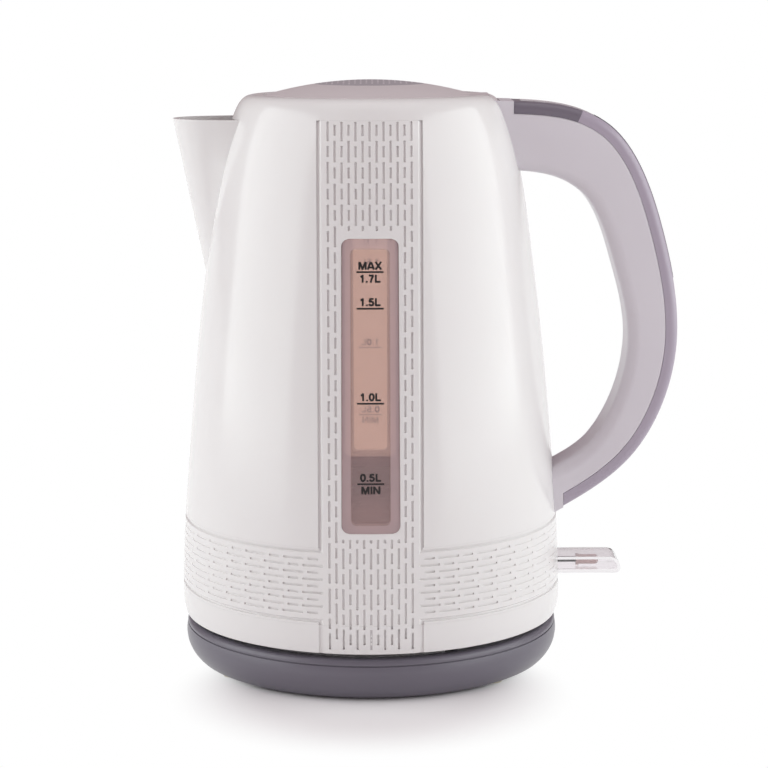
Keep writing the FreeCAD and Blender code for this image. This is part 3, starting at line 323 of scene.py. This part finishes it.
def upright_band(name, turn):
    """Upright band: rows of height by columns of X on the jug's side line, with its dashes sunk along
    the columns, a sloped border at both sides and a hole with round corners for the window."""
    kinds = upright_dashes()
    corner = np.linspace(0.0, window_round, corner_steps)
    extra = np.array([band_low + strip_trim, window_low - window_margin, window_low - window_chamfer,
                      window_high + window_chamfer, window_high + window_margin, band_top - strip_trim])
    rows = np.concatenate([dash_stops(np.concatenate(kinds)), extra,
                           window_low + corner, window_high - corner])
    rows = thinned(rows[(rows >= extra[0]) & (rows <= extra[-1])])
    nearest = np.abs(rows[:, None] - np.array([window_low, window_high])).argmin(axis=0)
    rows[nearest] = window_low, window_high
    bars = column_pitch * (np.arange(column_count) - column_count // 2)
    lines = (bars[:, None] + dash_lines).ravel()
    side_lines = len(border_insets)
    across = np.pad(lines, side_lines)
    height, x = np.meshgrid(rows, across, indexing="ij")
    edge = band_edge(rows)
    for line, inset in enumerate(border_insets):
        x[:, line], x[:, -1 - line] = inset - edge, edge - inset
    level = np.full_like(x, -strip_drop)
    level[:, [0, 1, -2, -1]] = -border_depth
    floors = np.stack([on_floor(rows, ends) for ends in kinds], axis=1)[:, column_kinds]
    floor_line = np.tile(np.abs(dash_lines) == dash_floor, column_count)
    sunk = np.repeat(floors, len(dash_lines), axis=1) & floor_line
    level[:, side_lines:-side_lines] -= dash_depth * sunk
    half = np.interp(rows, [window_low, window_high], [window_half_low, window_half_top])
    near = np.minimum(rows - window_low, window_high - rows) / window_margin + 1.0
    near = np.clip(near, 0.0, 1.0)
    last = side_lines + len(dash_lines) * np.flatnonzero(np.abs(bars) < window_half_low).max()
    first = len(across) - 1 - last
    for line, place in ((last + 2, half), (last + 3, half + window_chamfer)):
        x[:, line] += near * (place - x[:, line])
        x[:, len(across) - 1 - line] = -x[:, line]
    hole = (rows >= window_low - same_place) & (rows <= window_high + same_place)
    for line in (last + 2, first - 2):
        level[hole, line] = -window_lip
    for end, upward in ((window_high, 1.0), (window_low, -1.0)):
        level[np.abs(rows - end) < same_place, first - 2:last + 3] = -window_lip
        reach = np.interp(end, rows, half)
        sx, sz = np.abs(x) - (reach - window_round), upward * (height - end) + window_round
        zone = (sx > 0) & (sz > 0)
        zone &= (sx < window_round + corner_past_side) & (sz < window_round + corner_past_end)
        big = np.maximum(sx, sz) + never_zero
        fade = np.clip(1 - (big - window_round) / corner_fade, 0.0, 1.0)
        fade = fade * np.clip(big / window_round, 0.0, 1.0)
        turned = np.minimum(sx, sz) / big * math.pi / 4
        long_x = sx >= sz
        arc_x = np.where(long_x, np.cos(turned), np.sin(turned)) * big
        arc_z = np.where(long_x, np.sin(turned), np.cos(turned)) * big
        x = np.where(zone, x + np.sign(x) * fade * (arc_x - sx), x)
        height = np.where(zone, height + upward * fade * (arc_z - sz), height)
    keep = np.ones((len(rows) - 1, len(across) - 1), bool)
    keep[np.ix_(hole[:-1] & hole[1:], np.arange(first - 2, last + 2))] = False
    over_pane = np.abs(x) < half[:, None] + pane_beside
    over_pane &= (height > window_low - pane_below) & (height < window_high + pane_above)
    back = np.where(over_pane, -pane_front, -strip_back)
    points = [wrapped(x, height, lift, turn) for lift in (level, back)]
    made = put(name, np.concatenate(points), sheet_faces(keep), gloss_pp)
    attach(made, "kettle")


upright_band("front_grip_band", 1.0)
upright_band("rear_grip_band", -1.0)

low_dash_half, low_dash_start, low_dash_end, low_dash_thick, low_dash_steps = 0.42, 2.0, 10.2, 0.3, 8
# The inlay is painted shade: a greyer, duller white that stands in for the shade inside a sunk dash.
painted_dash_shade = moulded("white_polypropylene_painted_dash_shade", "#BDB8BA", "#B8B3B5", 0.3, 1.6, 0.004, IOR=1.49)


def low_dash(name, turn):
    """Lowest dash of the band's middle column as a narrow inlay of painted shade: rows of height by both
    its edges, on the jug's side line and a little below it."""
    rows = np.linspace(low_dash_start, low_dash_end, low_dash_steps + 1)
    height, x = np.meshgrid(rows, [-low_dash_half, low_dash_half], indexing="ij")
    points = [wrapped(x, height, lift, turn) for lift in (0.0, -low_dash_thick)]
    made = put(name, np.concatenate(points), sheet_faces(np.ones((low_dash_steps, 1), bool)), painted_dash_shade)
    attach(made, "kettle")


low_dash("front_low_dash_shade", 1.0)
low_dash("rear_low_dash_shade", -1.0)

foot_low, foot_high = 11.5, 41.9
foot_border = np.array([[11.5, 0.0], [12.45, 0.0], [12.55, -0.85], [13.3, -0.85], [13.9, 0.0],
                        [39.7, 0.0], [40.3, -0.85], [41.0, -0.85], [41.1, 0.0], [41.9, 0.0]])
foot_middle, foot_row_pitch, foot_row_count = 26.9, 2.65, 9
foot_first, foot_beat, foot_beats, foot_last = 22.8, 7.68, 8, 77.0
foot_brink, foot_beyond, foot_lap, foot_tuck, foot_step, foot_slack = 0.02, 0.04, 0.4, 0.06, 2.0, 0.05
lever_half, lever_roof, lever_slack = 9.3, 22.5, 0.01


def foot_band(name, side, slotted):
    """Foot band of one side: rows of height by columns of angle from the front. Its dashes lie along
    the rows, evenly spaced as seen square to the front; the handle's side leaves out the lever's slot."""
    bars = foot_middle + foot_row_pitch * (np.arange(foot_row_count) - foot_row_count // 2)
    rows = thinned(np.concatenate([[foot_low + strip_trim, foot_high - strip_trim, lever_roof],
                                   foot_border[1:-1, 0], (bars[:, None] + dash_lines).ravel()]))
    belly = jug_radius(foot_middle)
    quarter = math.pi / 2 * belly
    middles = foot_first + foot_beat * np.arange(foot_beats)
    kinds = []
    for long_first in (False, True):
        ends = np.arcsin(dash_ends(middles, long_first, 0.0, foot_last) / belly) * belly
        kinds.append(np.concatenate([ends, 2 * quarter - ends[:, ::-1]]))
    edge = band_edge(foot_middle)
    inner = edge - border_floor - border_slope
    marks = np.array([inner, edge - foot_brink, edge + foot_beyond])
    start, brink, beyond = np.arcsin(marks / belly) * belly
    near_end = np.array([start - foot_lap, start, brink, beyond])
    slot_reach = math.asin(lever_half / belly) * belly
    even = np.arange(start + foot_step, 2 * quarter - start - foot_step / 2, foot_step)
    arc = thinned(np.concatenate([near_end, 2 * quarter - near_end, dash_stops(np.concatenate(kinds)),
                                  even, [quarter - slot_reach, quarter + slot_reach]]))
    height, angle = np.meshgrid(rows, arc / belly, indexing="ij")
    level = np.repeat(np.interp(rows, *foot_border.T)[:, None], len(arc), axis=1) - strip_drop
    away = np.abs(rows[:, None] - bars)
    bar = away.argmin(axis=1)
    floors = np.stack([on_floor(arc, ends) for ends in kinds])[bar % 2]
    floors &= (away.min(axis=1) < dash_floor + same_place)[:, None]
    level -= dash_depth * np.abs(np.cos(angle)) * floors
    level[:, [0, -1]] -= foot_tuck
    beside = np.minimum(arc, 2 * quarter - arc) < (brink + beyond) / 2
    outside = (rows < foot_border[1, 0] + foot_slack) | (rows > foot_border[-2, 0] - foot_slack)
    level[np.ix_(outside, beside)] = -border_depth - strip_drop
    keep = np.ones((len(rows) - 1, len(arc) - 1), bool)
    if slotted:
        centre = (arc[1:] + arc[:-1]) / 2 - quarter
        keep[np.ix_(rows[1:] < lever_roof + lever_slack, np.abs(centre) < slot_reach)] = False
    angle, level, keep = angle[:, ::side] * side, level[:, ::side], keep[:, ::side]
    radius = jug_radius(height)
    points = []
    for drop in (level, np.full_like(level, -strip_back)):
        x, y = (radius + drop) * np.sin(angle), -(radius + drop) * np.cos(angle)
        points.append(np.stack([x, y, height + jug_bottom], axis=-1).reshape(-1, 3))
    made = put(name, np.concatenate(points), sheet_faces(keep), gloss_pp)
    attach(made, "kettle")


foot_band("handle_side_foot_band", 1, True)
foot_band("spout_side_foot_band", -1, False)


# Water windows: panes of milky polypropylene with a warm tint, welded into the wall from inside, with
# a thinner raised panel in the middle. Daylight from behind shows through both of them, so they look
# beige above and greyer low down, where the jug's inside wall stands behind the front pane.

panel_middle, panel_half, panel_round, panel_line = (0.0, 0.0, 124.1), (7.6, 53.0), 2.2, 0.3
any_depth, nothing = 1000.0, (0.0, 0.0, 0.0)


def milky_pane(name, milk, tint, panel_share, frame_share):
    """Milky plastic: a share of the light meets its scattering body, the rest passes with the tint. The
    share is higher outside the panel, whose outline is a rounded rectangle: the distance of a point
    from the inner rectangle, less the corner's radius, tells how far it is from that outline."""
    material = moulded(name, milk, milk, 0.1, 1.2, 0.001, IOR=1.49)
    place = add(material, "ShaderNodeTexCoord", {}).outputs["Object"]
    inner = (panel_half[0] - panel_round, any_depth, panel_half[1] - panel_round)
    for operation, value in (("SUBTRACT", panel_middle), ("ABSOLUTE", nothing), ("SUBTRACT", inner),
                             ("MAXIMUM", nothing)):
        settings = {"operation": operation, 1: [part / 1000.0 for part in value]}
        place = add(material, "ShaderNodeVectorMath", settings, [(0, place)]).outputs["Vector"]
    out = add(material, "ShaderNodeVectorMath", {"operation": "LENGTH"}, [(0, place)]).outputs["Value"]
    line_start, line_end = (panel_round - panel_line) / 1000.0, (panel_round + panel_line) / 1000.0
    share = add(material, "ShaderNodeMapRange",
                {"From Min": line_start, "From Max": line_end, "To Min": panel_share, "To Max": frame_share},
                [("Value", out)])
    clear = add(material, "ShaderNodeBsdfTransparent", {"Color": linear(tint)})
    shader = material.node_tree.nodes["Principled BSDF"]
    both = add(material, "ShaderNodeMixShader", {},
               [(0, share.outputs["Result"]), (1, clear.outputs["BSDF"]), (2, shader.outputs["BSDF"])])
    surface = material.node_tree.nodes["Material Output"].inputs["Surface"]
    material.node_tree.links.new(both.outputs["Shader"], surface)
    return material


pane_pp = milky_pane("milky_tinted_polypropylene_pane", "#E1CCD0", "#FDF0E8", 0.25, 0.5)
dress(pane_pp, "front_window", "rear_window")


# Gauge marks: level lines and bold figures pad-printed in dull black ink on the windows' raised
# panels, the rear ones turned to read from behind. From inside, the milky pane veils the ink.

ink = moulded("black_pad_print_ink", "#1C1819", "#141112", 0.45, 0.4, 0.002, IOR=1.5)
ink_veil = 0.74
ink_place = add(ink, "ShaderNodeTexCoord", {}).outputs
ink_side = add(ink, "ShaderNodeVectorMath", {"operation": "DOT_PRODUCT"},
               [(0, ink_place["Normal"]), (1, ink_place["Object"])])
inward = add(ink, "ShaderNodeMath", {"operation": "LESS_THAN", 1: 0.0}, [(0, ink_side.outputs["Value"])])
veiled = add(ink, "ShaderNodeMath", {"operation": "MULTIPLY", 1: ink_veil}, [(0, inward.outputs["Value"])])
see_through = add(ink, "ShaderNodeBsdfTransparent", {})
ink_shown = add(ink, "ShaderNodeMixShader", {},
                [(0, veiled.outputs["Value"]), (1, ink.node_tree.nodes["Principled BSDF"].outputs["BSDF"]),
                 (2, see_through.outputs["BSDF"])])
ink_surface = ink.node_tree.nodes["Material Output"].inputs["Surface"]
ink.node_tree.links.new(ink_shown.outputs["Shader"], ink_surface)
panel_drop, ink_thick, line_thick, line_half = 0.15, 0.05, 0.68, 5.2
line_heights = [148.4, 134.5, 98.2, 67.2]
level_words = [("MAX", 149.3), ("1.7L", 144.4), ("1.5L", 135.5), ("1.0L", 99.2), ("0.5L", 68.2),
               ("MIN", 63.3)]
letter_size, letter_pen, bend_lap = np.array([2.97, 3.0]), 0.76, 0.1
bar_steps, zero_bars = 8, 16
round_zero = np.linspace(0.0, 2 * math.pi, zero_bars + 1)
letters = {
    "M": (1.16, [[(.17, 0), (.17, 1)], [(.22, .96), (.58, .08), (.94, .96)], [(.99, 0), (.99, 1)]]),
    "A": (1.0, [[(.1, 0), (.46, .98)], [(.9, 0), (.54, .98)], [(.25, .29), (.75, .29)]]),
    "X": (.93, [[(.1, 0), (.83, 1)], [(.1, 1), (.83, 0)]]),
    "I": (.39, [[(.195, 0), (.195, 1)]]),
    "N": (1.0, [[(.15, 0), (.15, 1)], [(.19, .93), (.81, .07)], [(.85, 0), (.85, 1)]]),
    "L": (.85, [[(.2, 0), (.2, 1)], [(.2, .1), (.8, .1)]]),
    "1": (.78, [[(.45, 0), (.45, 1)], [(.47, .9), (.17, .68)]]),
    "7": (.78, [[(.08, .9), (.7, .9)], [(.66, .9), (.45, .5), (.33, 0)]]),
    "5": (.78, [[(.68, .9), (.2, .9)], [(.24, .95), (.15, .5)],
                [(.13, .52), (.36, .58), (.58, .5), (.65, .33), (.57, .15), (.37, .09), (.19, .14),
                 (.1, .28)]]),
    "0": (.78, [np.stack([.39 + .26 * np.sin(round_zero), .5 + .41 * np.cos(round_zero)], axis=1)]),
    ".": (.39, [[(.195, 0), (.195, .2)]])}


def strokes(words, height):
    """Pen strokes of centred words: rows of start and end, X and Y, each a little longer at a bend."""
    wide = sum(letters[letter][0] for letter in words)
    rows, left = [], -wide / 2
    for letter in words:
        for line in letters[letter][1]:
            line = np.array(line, float) + [left, 0.0]
            step = np.diff(line, axis=0)
            step *= bend_lap / np.linalg.norm(step, axis=1, keepdims=True)
            bend = np.ones((len(step), 2, 1))
            bend[0, 0] = bend[-1, 1] = 0.0
            ends = [line[:-1] - step * bend[:, 0], line[1:] + step * bend[:, 1]]
            rows.append(np.concatenate(ends, axis=1))
        left += letters[letter][0]
    return np.concatenate(rows) * np.tile(letter_size, 2) + np.array([0.0, height, 0.0, height])


def gauge_marks(name, turn):
    """All the marks of one window as one mesh of thin closed bars, one per pen stroke and level line,
    each cut into short lengths and wrapped onto the raised panel."""
    lines = np.concatenate([strokes(words, height) for words, height in level_words])
    level = np.array([[-line_half, height, line_half, height] for height in line_heights])
    pens = np.concatenate([np.full(len(lines), letter_pen), np.full(len(level), line_thick)])
    lines = np.concatenate([lines, level])
    start, end = lines[:, None, None, None, :2], lines[:, None, None, None, 2:]
    run = (end - start) / np.linalg.norm(end - start, axis=-1, keepdims=True)
    aside = np.stack([-run[..., 1], run[..., 0]], axis=-1) * pens[:, None, None, None, None] / 2
    across, along = np.array([-1.0, 1.0])[:, None, None], np.linspace(0.0, 1.0, bar_steps + 1)[:, None]
    flat = start + (end - start) * along + aside * across
    flat = np.repeat(flat, 2, axis=1)
    proud = np.array([1.0, -1.0])[:, None, None] * ink_thick / 2
    points = wrapped(flat[..., 0], flat[..., 1], proud - panel_drop, turn)
    cells = sheet_faces(np.ones((1, bar_steps), bool))
    faces = cells + flat[0, ..., 0].size * np.arange(len(lines))[:, None, None]
    made = put(name, points, faces.reshape(-1, 4), ink)
    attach(made, "kettle")


gauge_marks("front_gauge_marks", 1.0)
gauge_marks("rear_gauge_marks", -1.0)


# Heating floor: a stainless plate over an aluminium spreader with a brazed tube element, sealed in
# the floor ring by a silicone gasket. The brushed plate shows streaks along one direction, the cast
# metal is dull and even, the rubber is matt, and the rolled snap disc has a warm shine.

brushed_steel = metal("brushed_stainless_steel", "#C9C9CB", "#AEAFB3", 0.25, 0.6, (0.03, 1, 1))
dress(brushed_steel, "heating_plate")
cast_aluminium = metal("cast_aluminium", "#B5B6B8", "#97999C", 0.45, 1.5, (1, 1, 1))
dress(cast_aluminium, "heat_spreader", "heating_element")
silicone = moulded("white_silicone_rubber", "#DCD8D6", "#D3CECC", 0.55, 0.5, 0.008, IOR=1.41)
dress(silicone, "plate_seal", "lid_seal")
snap_disc = metal("rolled_bimetal_strip", "#C4B49B", "#A8987F", 0.3, 0.5, (1, 0.1, 1))
dress(snap_disc, "steam_bimetal")


# Spout filter: a white frame that slides between two rails behind the spout, with a moulded net of
# fine nylon bars, satin and greyer than the frame, partly its own grey and partly painted shade for
# the dark behind the spout, so that its openings show.

# The net's grey is partly painted shade.
net_nylon = moulded("grey_nylon_net", "#B9B7B9", "#ADABAE", 0.4, 0.4, 0.006, IOR=1.53)
dress(net_nylon, "filter_net")


# Handle: a white inner half screwed to the jug, of the same resin but with a slightly duller skin and
# a lavender painted shade in its colour, closed by a satin lavender-grey ABS strip along the outside,
# painted darker above a slanting line at its top as a painted reflection, with a matt soft grip pad
# let into it.

# The inner half's colour is the jug's white with a lavender painted shade.
handle_pp_with_painted_shade = moulded("white_polypropylene_satin", "#E3DFE5", "#DEDAE1", 0.3, 0.9, 0.006, IOR=1.49,
                    Subsurface_Weight=0.04, Subsurface_Radius=(0.002, 0.0018, 0.0016))
dress(handle_pp_with_painted_shade, "handle_frame")
trim_abs = moulded("lavender_grey_ABS_satin", "#B4AAB9", "#AEA4B3", 0.3, 0.5, 0.006, IOR=1.53)
# Painted reflection: above the slanting line the strip takes a darker tone for the dark room it mirrors.
reflection_edge_facing, reflection_edge_reach = (0.906, 0.0, -0.423), -0.0181
trim_place = add(trim_abs, "ShaderNodeTexCoord", {}).outputs["Object"]
trim_along = add(trim_abs, "ShaderNodeVectorMath", {"operation": "DOT_PRODUCT", 1: reflection_edge_facing},
                 [(0, trim_place)])
painted_reflection_side = add(trim_abs, "ShaderNodeMath", {"operation": "LESS_THAN", 1: reflection_edge_reach},
            [(0, trim_along.outputs["Value"])])
trim_base = trim_abs.node_tree.nodes["Principled BSDF"].inputs["Base Color"]
lower_tone = trim_base.links[0].from_socket
trim_tone_with_painted_reflection = add(trim_abs, "ShaderNodeMix", {"data_type": "RGBA", 7: linear("#79727E")},
                [(0, painted_reflection_side.outputs["Value"]), (6, lower_tone)])
trim_abs.node_tree.links.new(trim_tone_with_painted_reflection.outputs[2], trim_base)
dress(trim_abs, "handle_cover")
pad_tpe = moulded("grey_TPE_soft_grip", "#77727C", "#716C76", 0.55, 0.6, 0.015, IOR=1.5)
dress(pad_tpe, "grip_pad")


# Switch lever: a clear polycarbonate paddle on a bright ground steel pin under the handle, hollow,
# with the indicator lamp and its dark leads inside. The lamp's lens is red but unlit, so it looks
# pale pink.

clear_pc = moulded("clear_polycarbonate_polished", "#F6F3F5", "#F3F0F2", 0.03, 1.5, 0.001, IOR=1.585,
                   Transmission_Weight=1.0)
dress(clear_pc, "switch_lever")
lamp_pc = moulded("pale_red_lens_with_tinned_leads", "#EBCFCC", "#E6C7C4", 0.15, 1.0, 0.002, IOR=1.585,
                  Transmission_Weight=0.6)
lead_end = 0.086
lamp_place = add(lamp_pc, "ShaderNodeTexCoord", {}).outputs["Object"]
lamp_x = add(lamp_pc, "ShaderNodeSeparateXYZ", {}, [("Vector", lamp_place)]).outputs["X"]
lens = add(lamp_pc, "ShaderNodeMath", {"operation": "GREATER_THAN", 1: lead_end}, [(0, lamp_x)])
lamp_base = lamp_pc.node_tree.nodes["Principled BSDF"].inputs["Base Color"]
lens_tone = lamp_base.links[0].from_socket
lamp_tone = add(lamp_pc, "ShaderNodeMix", {"data_type": "RGBA", 6: linear("#4A4648")},
                [(0, lens.outputs["Value"]), (7, lens_tone)])
lamp_pc.node_tree.links.new(lamp_tone.outputs[2], lamp_base)
dress(lamp_pc, "indicator_lamp")
ground_steel = metal("ground_steel_pin", "#BDBEC2", "#A3A5AA", 0.22, 0.4, (1, 0.05, 1))
dress(ground_steel, "lid_hinge_pin", "lever_pin")


# Lid: a satin grey ABS cover with a round inset plate of darker, fine-textured ABS pressed into its
# middle. The plate carries the bands' dashes in a finer size, as painted highlights in a lighter grey
# on its dome.

lid_abs = moulded("warm_grey_ABS_satin", "#DDD5D7", "#D6CED0", 0.35, 0.5, 0.008, IOR=1.53)
dress(lid_abs, "lid_cover")
inset_abs = moulded("mid_grey_ABS_fine_textured", "#B0ABB1", "#A7A2A8", 0.4, 0.8, 0.03, IOR=1.53)
dress(inset_abs, "lid_inset")
# Painted highlight: the dashes are lighter grey for the light their fine relief would catch.
plate_dash_highlight = moulded("pale_grey_painted_dash_highlight", "#CFC9CE", "#C8C2C7", 0.4, 0.5, 0.004, IOR=1.5)
plate_pitch, plate_half, plate_long, plate_short, plate_gap, plate_clear = 2.3, 0.34, 4.4, 2.0, 1.3, 20.4
plate_columns, plate_runs, plate_steps = 9, 3, 4
crown_height, crown_ball, highlight_rise, highlight_sink = 239.3, 152.5, 0.002, 0.2


def plate_dashes(name):
    """Fine dashes of the lid's plate: straight columns at an even pitch, each a run of long and short
    dashes by turns, every second column shifted by half a run, kept where both ends clear the plate's
    rim. Each is a thin closed bar that follows the crown ball: a radius about a centre on the axis."""
    run = plate_long + plate_short + 2 * plate_gap
    column, turn = np.meshgrid(np.arange(-plate_columns, plate_columns),
                               np.arange(-plate_runs, plate_runs + 1), indexing="ij")
    start = (turn * run + (column % 2) * run / 2).ravel()
    low = np.concatenate([start, start + plate_long + plate_gap])
    high = low + np.repeat([plate_long, plate_short], start.size)
    middle = np.tile((column.ravel() + 0.5) * plate_pitch, 2)
    keep = np.hypot(middle, np.maximum(abs(low), abs(high))) < plate_clear
    share = np.linspace(0.0, 1.0, plate_steps + 1)
    y = low[keep, None] + (high - low)[keep, None] * share
    y, x = y[:, None, :, None], (middle[keep, None] + [-plate_half, plate_half])[:, None, None, :]
    rise = np.array([highlight_rise, -highlight_sink])[None, :, None, None]
    z = crown_height - crown_ball + np.sqrt(crown_ball ** 2 - x ** 2 - y ** 2) + rise
    points = np.stack(np.broadcast_arrays(x, y, z), axis=-1)
    bar = sheet_faces(np.ones((plate_steps, 1), bool))
    faces = bar + np.arange(len(points))[:, None, None] * points[0, ..., 0].size
    made = put(name, points.reshape(-1, 3), faces.reshape(-1, 4), plate_dash_highlight)
    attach(made, "lid")


plate_dashes("lid_plate_dashes")


# Lid release: a glossy white acetal button let into the handle's top, the acetal catch that it pushes,
# and the bright steel wire spring behind the catch, wound in five turns.

button_pp = moulded("white_acetal_polished", "#ECE9ED", "#E7E4E9", 0.22, 1.2, 0.004, IOR=1.48)
dress(button_pp, "lid_release_button", "catch_slider")
spring_turns, spring_wire, spring_steps, wire_sides = 5, 0.35, 24, 8
wire_cap = np.array([[0, 1, 2, 3], [0, 3, 4, 7], [4, 5, 6, 7]])


def return_spring(name, node):
    """Coil in the place of a node: a ring of eight points, in the plane of the coil's radius and axis, is
    carried along a helix about the box's long axis, and both ends of the wire are closed."""
    low, high = (np.array(corner) * 1000.0 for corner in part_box(node))
    centre, radius = (low + high) / 2, (high - low)[1] / 2 - spring_wire
    angle = np.linspace(0.0, 2 * np.pi * spring_turns, spring_steps * spring_turns + 1)[:, None]
    ring = np.arange(wire_sides) * 2 * np.pi / wire_sides
    out = radius + spring_wire * np.cos(ring)
    along = np.linspace(low[0] + spring_wire, high[0] - spring_wire, angle.size)[:, None]
    points = np.stack([along + spring_wire * np.sin(ring), centre[1] + out * np.cos(angle),
                       centre[2] + out * np.sin(angle)], axis=-1)
    index = np.arange(points[..., 0].size).reshape(points.shape[:2])
    after = np.roll(index, -1, axis=1)
    sides = np.stack([index[:-1], index[1:], after[1:], after[:-1]], axis=-1).reshape(-1, 4)
    faces = np.concatenate([sides, wire_cap, index[-1, 0] + wire_cap[:, ::-1]])
    made = put(name, points.reshape(-1, 3), faces, ground_steel)
    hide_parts(node)
    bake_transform(made)


return_spring("lid_return_spring", "catch_spring")


# Floor: a wide white sheet that keeps the soft shadow close to the base, in two round patches before
# and behind it. What the camera sees of the rest, directly, mirrored or through the windows, fades to
# plain white, without lighting the kettle.

floor_half, floor_front, floor_back = 6.0, -3.0, 9.0
shadow_middle, shadow_near, shadow_far = (0.0, 0.062, 0.0), 0.04, 0.082
floor_mesh = bpy.data.meshes.new("studio_floor")
floor_mesh.from_pydata([(-floor_half, floor_front, 0), (floor_half, floor_front, 0),
                        (floor_half, floor_back, 0), (-floor_half, floor_back, 0)], [], [(0, 1, 2, 3)])
floor_paper = bpy.data.materials.new("matt_white_paper")
floor_paper.use_nodes = True
floor_paper.node_tree.nodes.remove(floor_paper.node_tree.nodes["Principled BSDF"])
floor_place = add(floor_paper, "ShaderNodeTexCoord", {}).outputs["Object"]
for operation, value in (("ABSOLUTE", nothing), ("SUBTRACT", shadow_middle)):
    floor_place = add(floor_paper, "ShaderNodeVectorMath", {"operation": operation, 1: value},
                      [(0, floor_place)]).outputs["Vector"]
reach = add(floor_paper, "ShaderNodeVectorMath", {"operation": "LENGTH"}, [(0, floor_place)])
far = add(floor_paper, "ShaderNodeMapRange",
          {"interpolation_type": "SMOOTHSTEP", "From Min": shadow_near, "From Max": shadow_far},
          [("Value", reach.outputs["Value"])])
path = add(floor_paper, "ShaderNodeLightPath", {}).outputs
mirrored = add(floor_paper, "ShaderNodeMath", {"operation": "MAXIMUM"},
               [(0, path["Is Camera Ray"]), (1, path["Is Glossy Ray"])])
seen = add(floor_paper, "ShaderNodeMath", {"operation": "MAXIMUM"},
           [(0, mirrored.outputs["Value"]), (1, path["Is Transmission Ray"])])
share = add(floor_paper, "ShaderNodeMath", {"operation": "MULTIPLY"},
            [(0, seen.outputs["Value"]), (1, far.outputs["Result"])])
paper = add(floor_paper, "ShaderNodeBsdfDiffuse", {"Color": linear("#F2F0F1")})
white = add(floor_paper, "ShaderNodeEmission", {"Strength": 1.0})
floor_shown = add(floor_paper, "ShaderNodeMixShader", {},
                  [(0, share.outputs["Value"]), (1, paper.outputs["BSDF"]), (2, white.outputs["Emission"])])
floor_surface = floor_paper.node_tree.nodes["Material Output"].inputs["Surface"]
floor_paper.node_tree.links.new(floor_shown.outputs["Shader"], floor_surface)
floor_mesh.materials.append(floor_paper)
floor = bpy.data.objects.new("studio_floor", floor_mesh)
bpy.context.scene.collection.objects.link(floor)


# Light: a pale room all round, white where the camera looks straight or through the windows, with a
# broad standing panel at each side for the soft reflections, and a weaker one overhead.

world = bpy.data.worlds.new("pale_studio")
bpy.context.scene.world = world
world.use_nodes = True
room_glow = 0.33
room = world.node_tree.nodes["Background"]
room.inputs["Color"].default_value = linear("#F5DAE0")
room.inputs["Strength"].default_value = room_glow
outlook = add(world, "ShaderNodeBackground", {"Color": linear("#FFFFFF"), "Strength": 1.0})
room_path = add(world, "ShaderNodeLightPath", {}).outputs
room_seen = add(world, "ShaderNodeMath", {"operation": "MAXIMUM"},
                [(0, room_path["Is Camera Ray"]), (1, room_path["Is Transmission Ray"])])
room_shown = add(world, "ShaderNodeMixShader", {},
                 [(0, room_seen.outputs["Value"]), (1, room.outputs["Background"]),
                  (2, outlook.outputs["Background"])])
room_surface = world.node_tree.nodes["World Output"].inputs["Surface"]
world.node_tree.links.new(room_shown.outputs["Shader"], room_surface)


def softbox(name, place, aim, width, height, power, colour):
    """Rectangular lamp at a place, turned to face the aim point."""
    lamp = bpy.data.lights.new(name, "AREA")
    lamp.shape, lamp.size, lamp.size_y, lamp.energy = "RECTANGLE", width, height, power
    lamp.color = linear(colour)[:3]
    made = bpy.data.objects.new(name, lamp)
    bpy.context.scene.collection.objects.link(made)
    back = np.array(place) - np.array(aim)
    back = back / np.linalg.norm(back)
    right = np.cross([0.0, 0.0, 1.0], back)
    right = right / np.linalg.norm(right)
    turn = np.eye(4)
    turn[:3, :3] = np.stack([right, np.cross(back, right), back], axis=1)
    turn[:3, 3] = place
    made.matrix_world = Matrix(turn.tolist())


softbox("left_panel", (-1.08, -0.21, 0.50), (0.0, 0.0, 0.13), 1.3, 1.1, 9.6, "#F6FFFD")
softbox("right_panel", (1.13, -0.28, 0.50), (0.0, 0.0, 0.13), 1.6, 1.1, 11.8, "#F6FFFD")
softbox("top_panel", (0.0, -0.2, 1.35), (0.0, 0.0, 0.1), 1.2, 0.9, 2.6, "#FFFFFF")


# Camera: a long lens a little above the lid, looking down at the kettle's side, turned and rolled by
# a fraction of a degree as in the photograph.

eye, lens_length, sensor = (0.0, -0.9434, 0.2723), 107.9, 36.0
tilt, swing, roll = math.radians(9.54), math.radians(-0.343), math.radians(-0.16)
spin = np.array([[math.cos(swing), -math.sin(swing), 0], [math.sin(swing), math.cos(swing), 0], [0, 0, 1]])
ahead = spin @ np.array([0.0, math.cos(tilt), -math.sin(tilt)])
level_right = spin @ np.array([1.0, 0.0, 0.0])
level_up = np.cross(level_right, ahead)
placing = np.eye(4)
placing[:3, 0] = math.cos(roll) * level_right + math.sin(roll) * level_up
placing[:3, 1] = math.cos(roll) * level_up - math.sin(roll) * level_right
placing[:3, 2] = -ahead
placing[:3, 3] = eye
camera = bpy.data.objects.new("camera", bpy.data.cameras.new("camera"))
camera.data.lens, camera.data.sensor_width = lens_length, sensor
camera.matrix_world = Matrix(placing.tolist())
bpy.context.scene.collection.objects.link(camera)
bpy.context.scene.camera = camera
bpy.context.scene.view_settings.view_transform = "Standard"
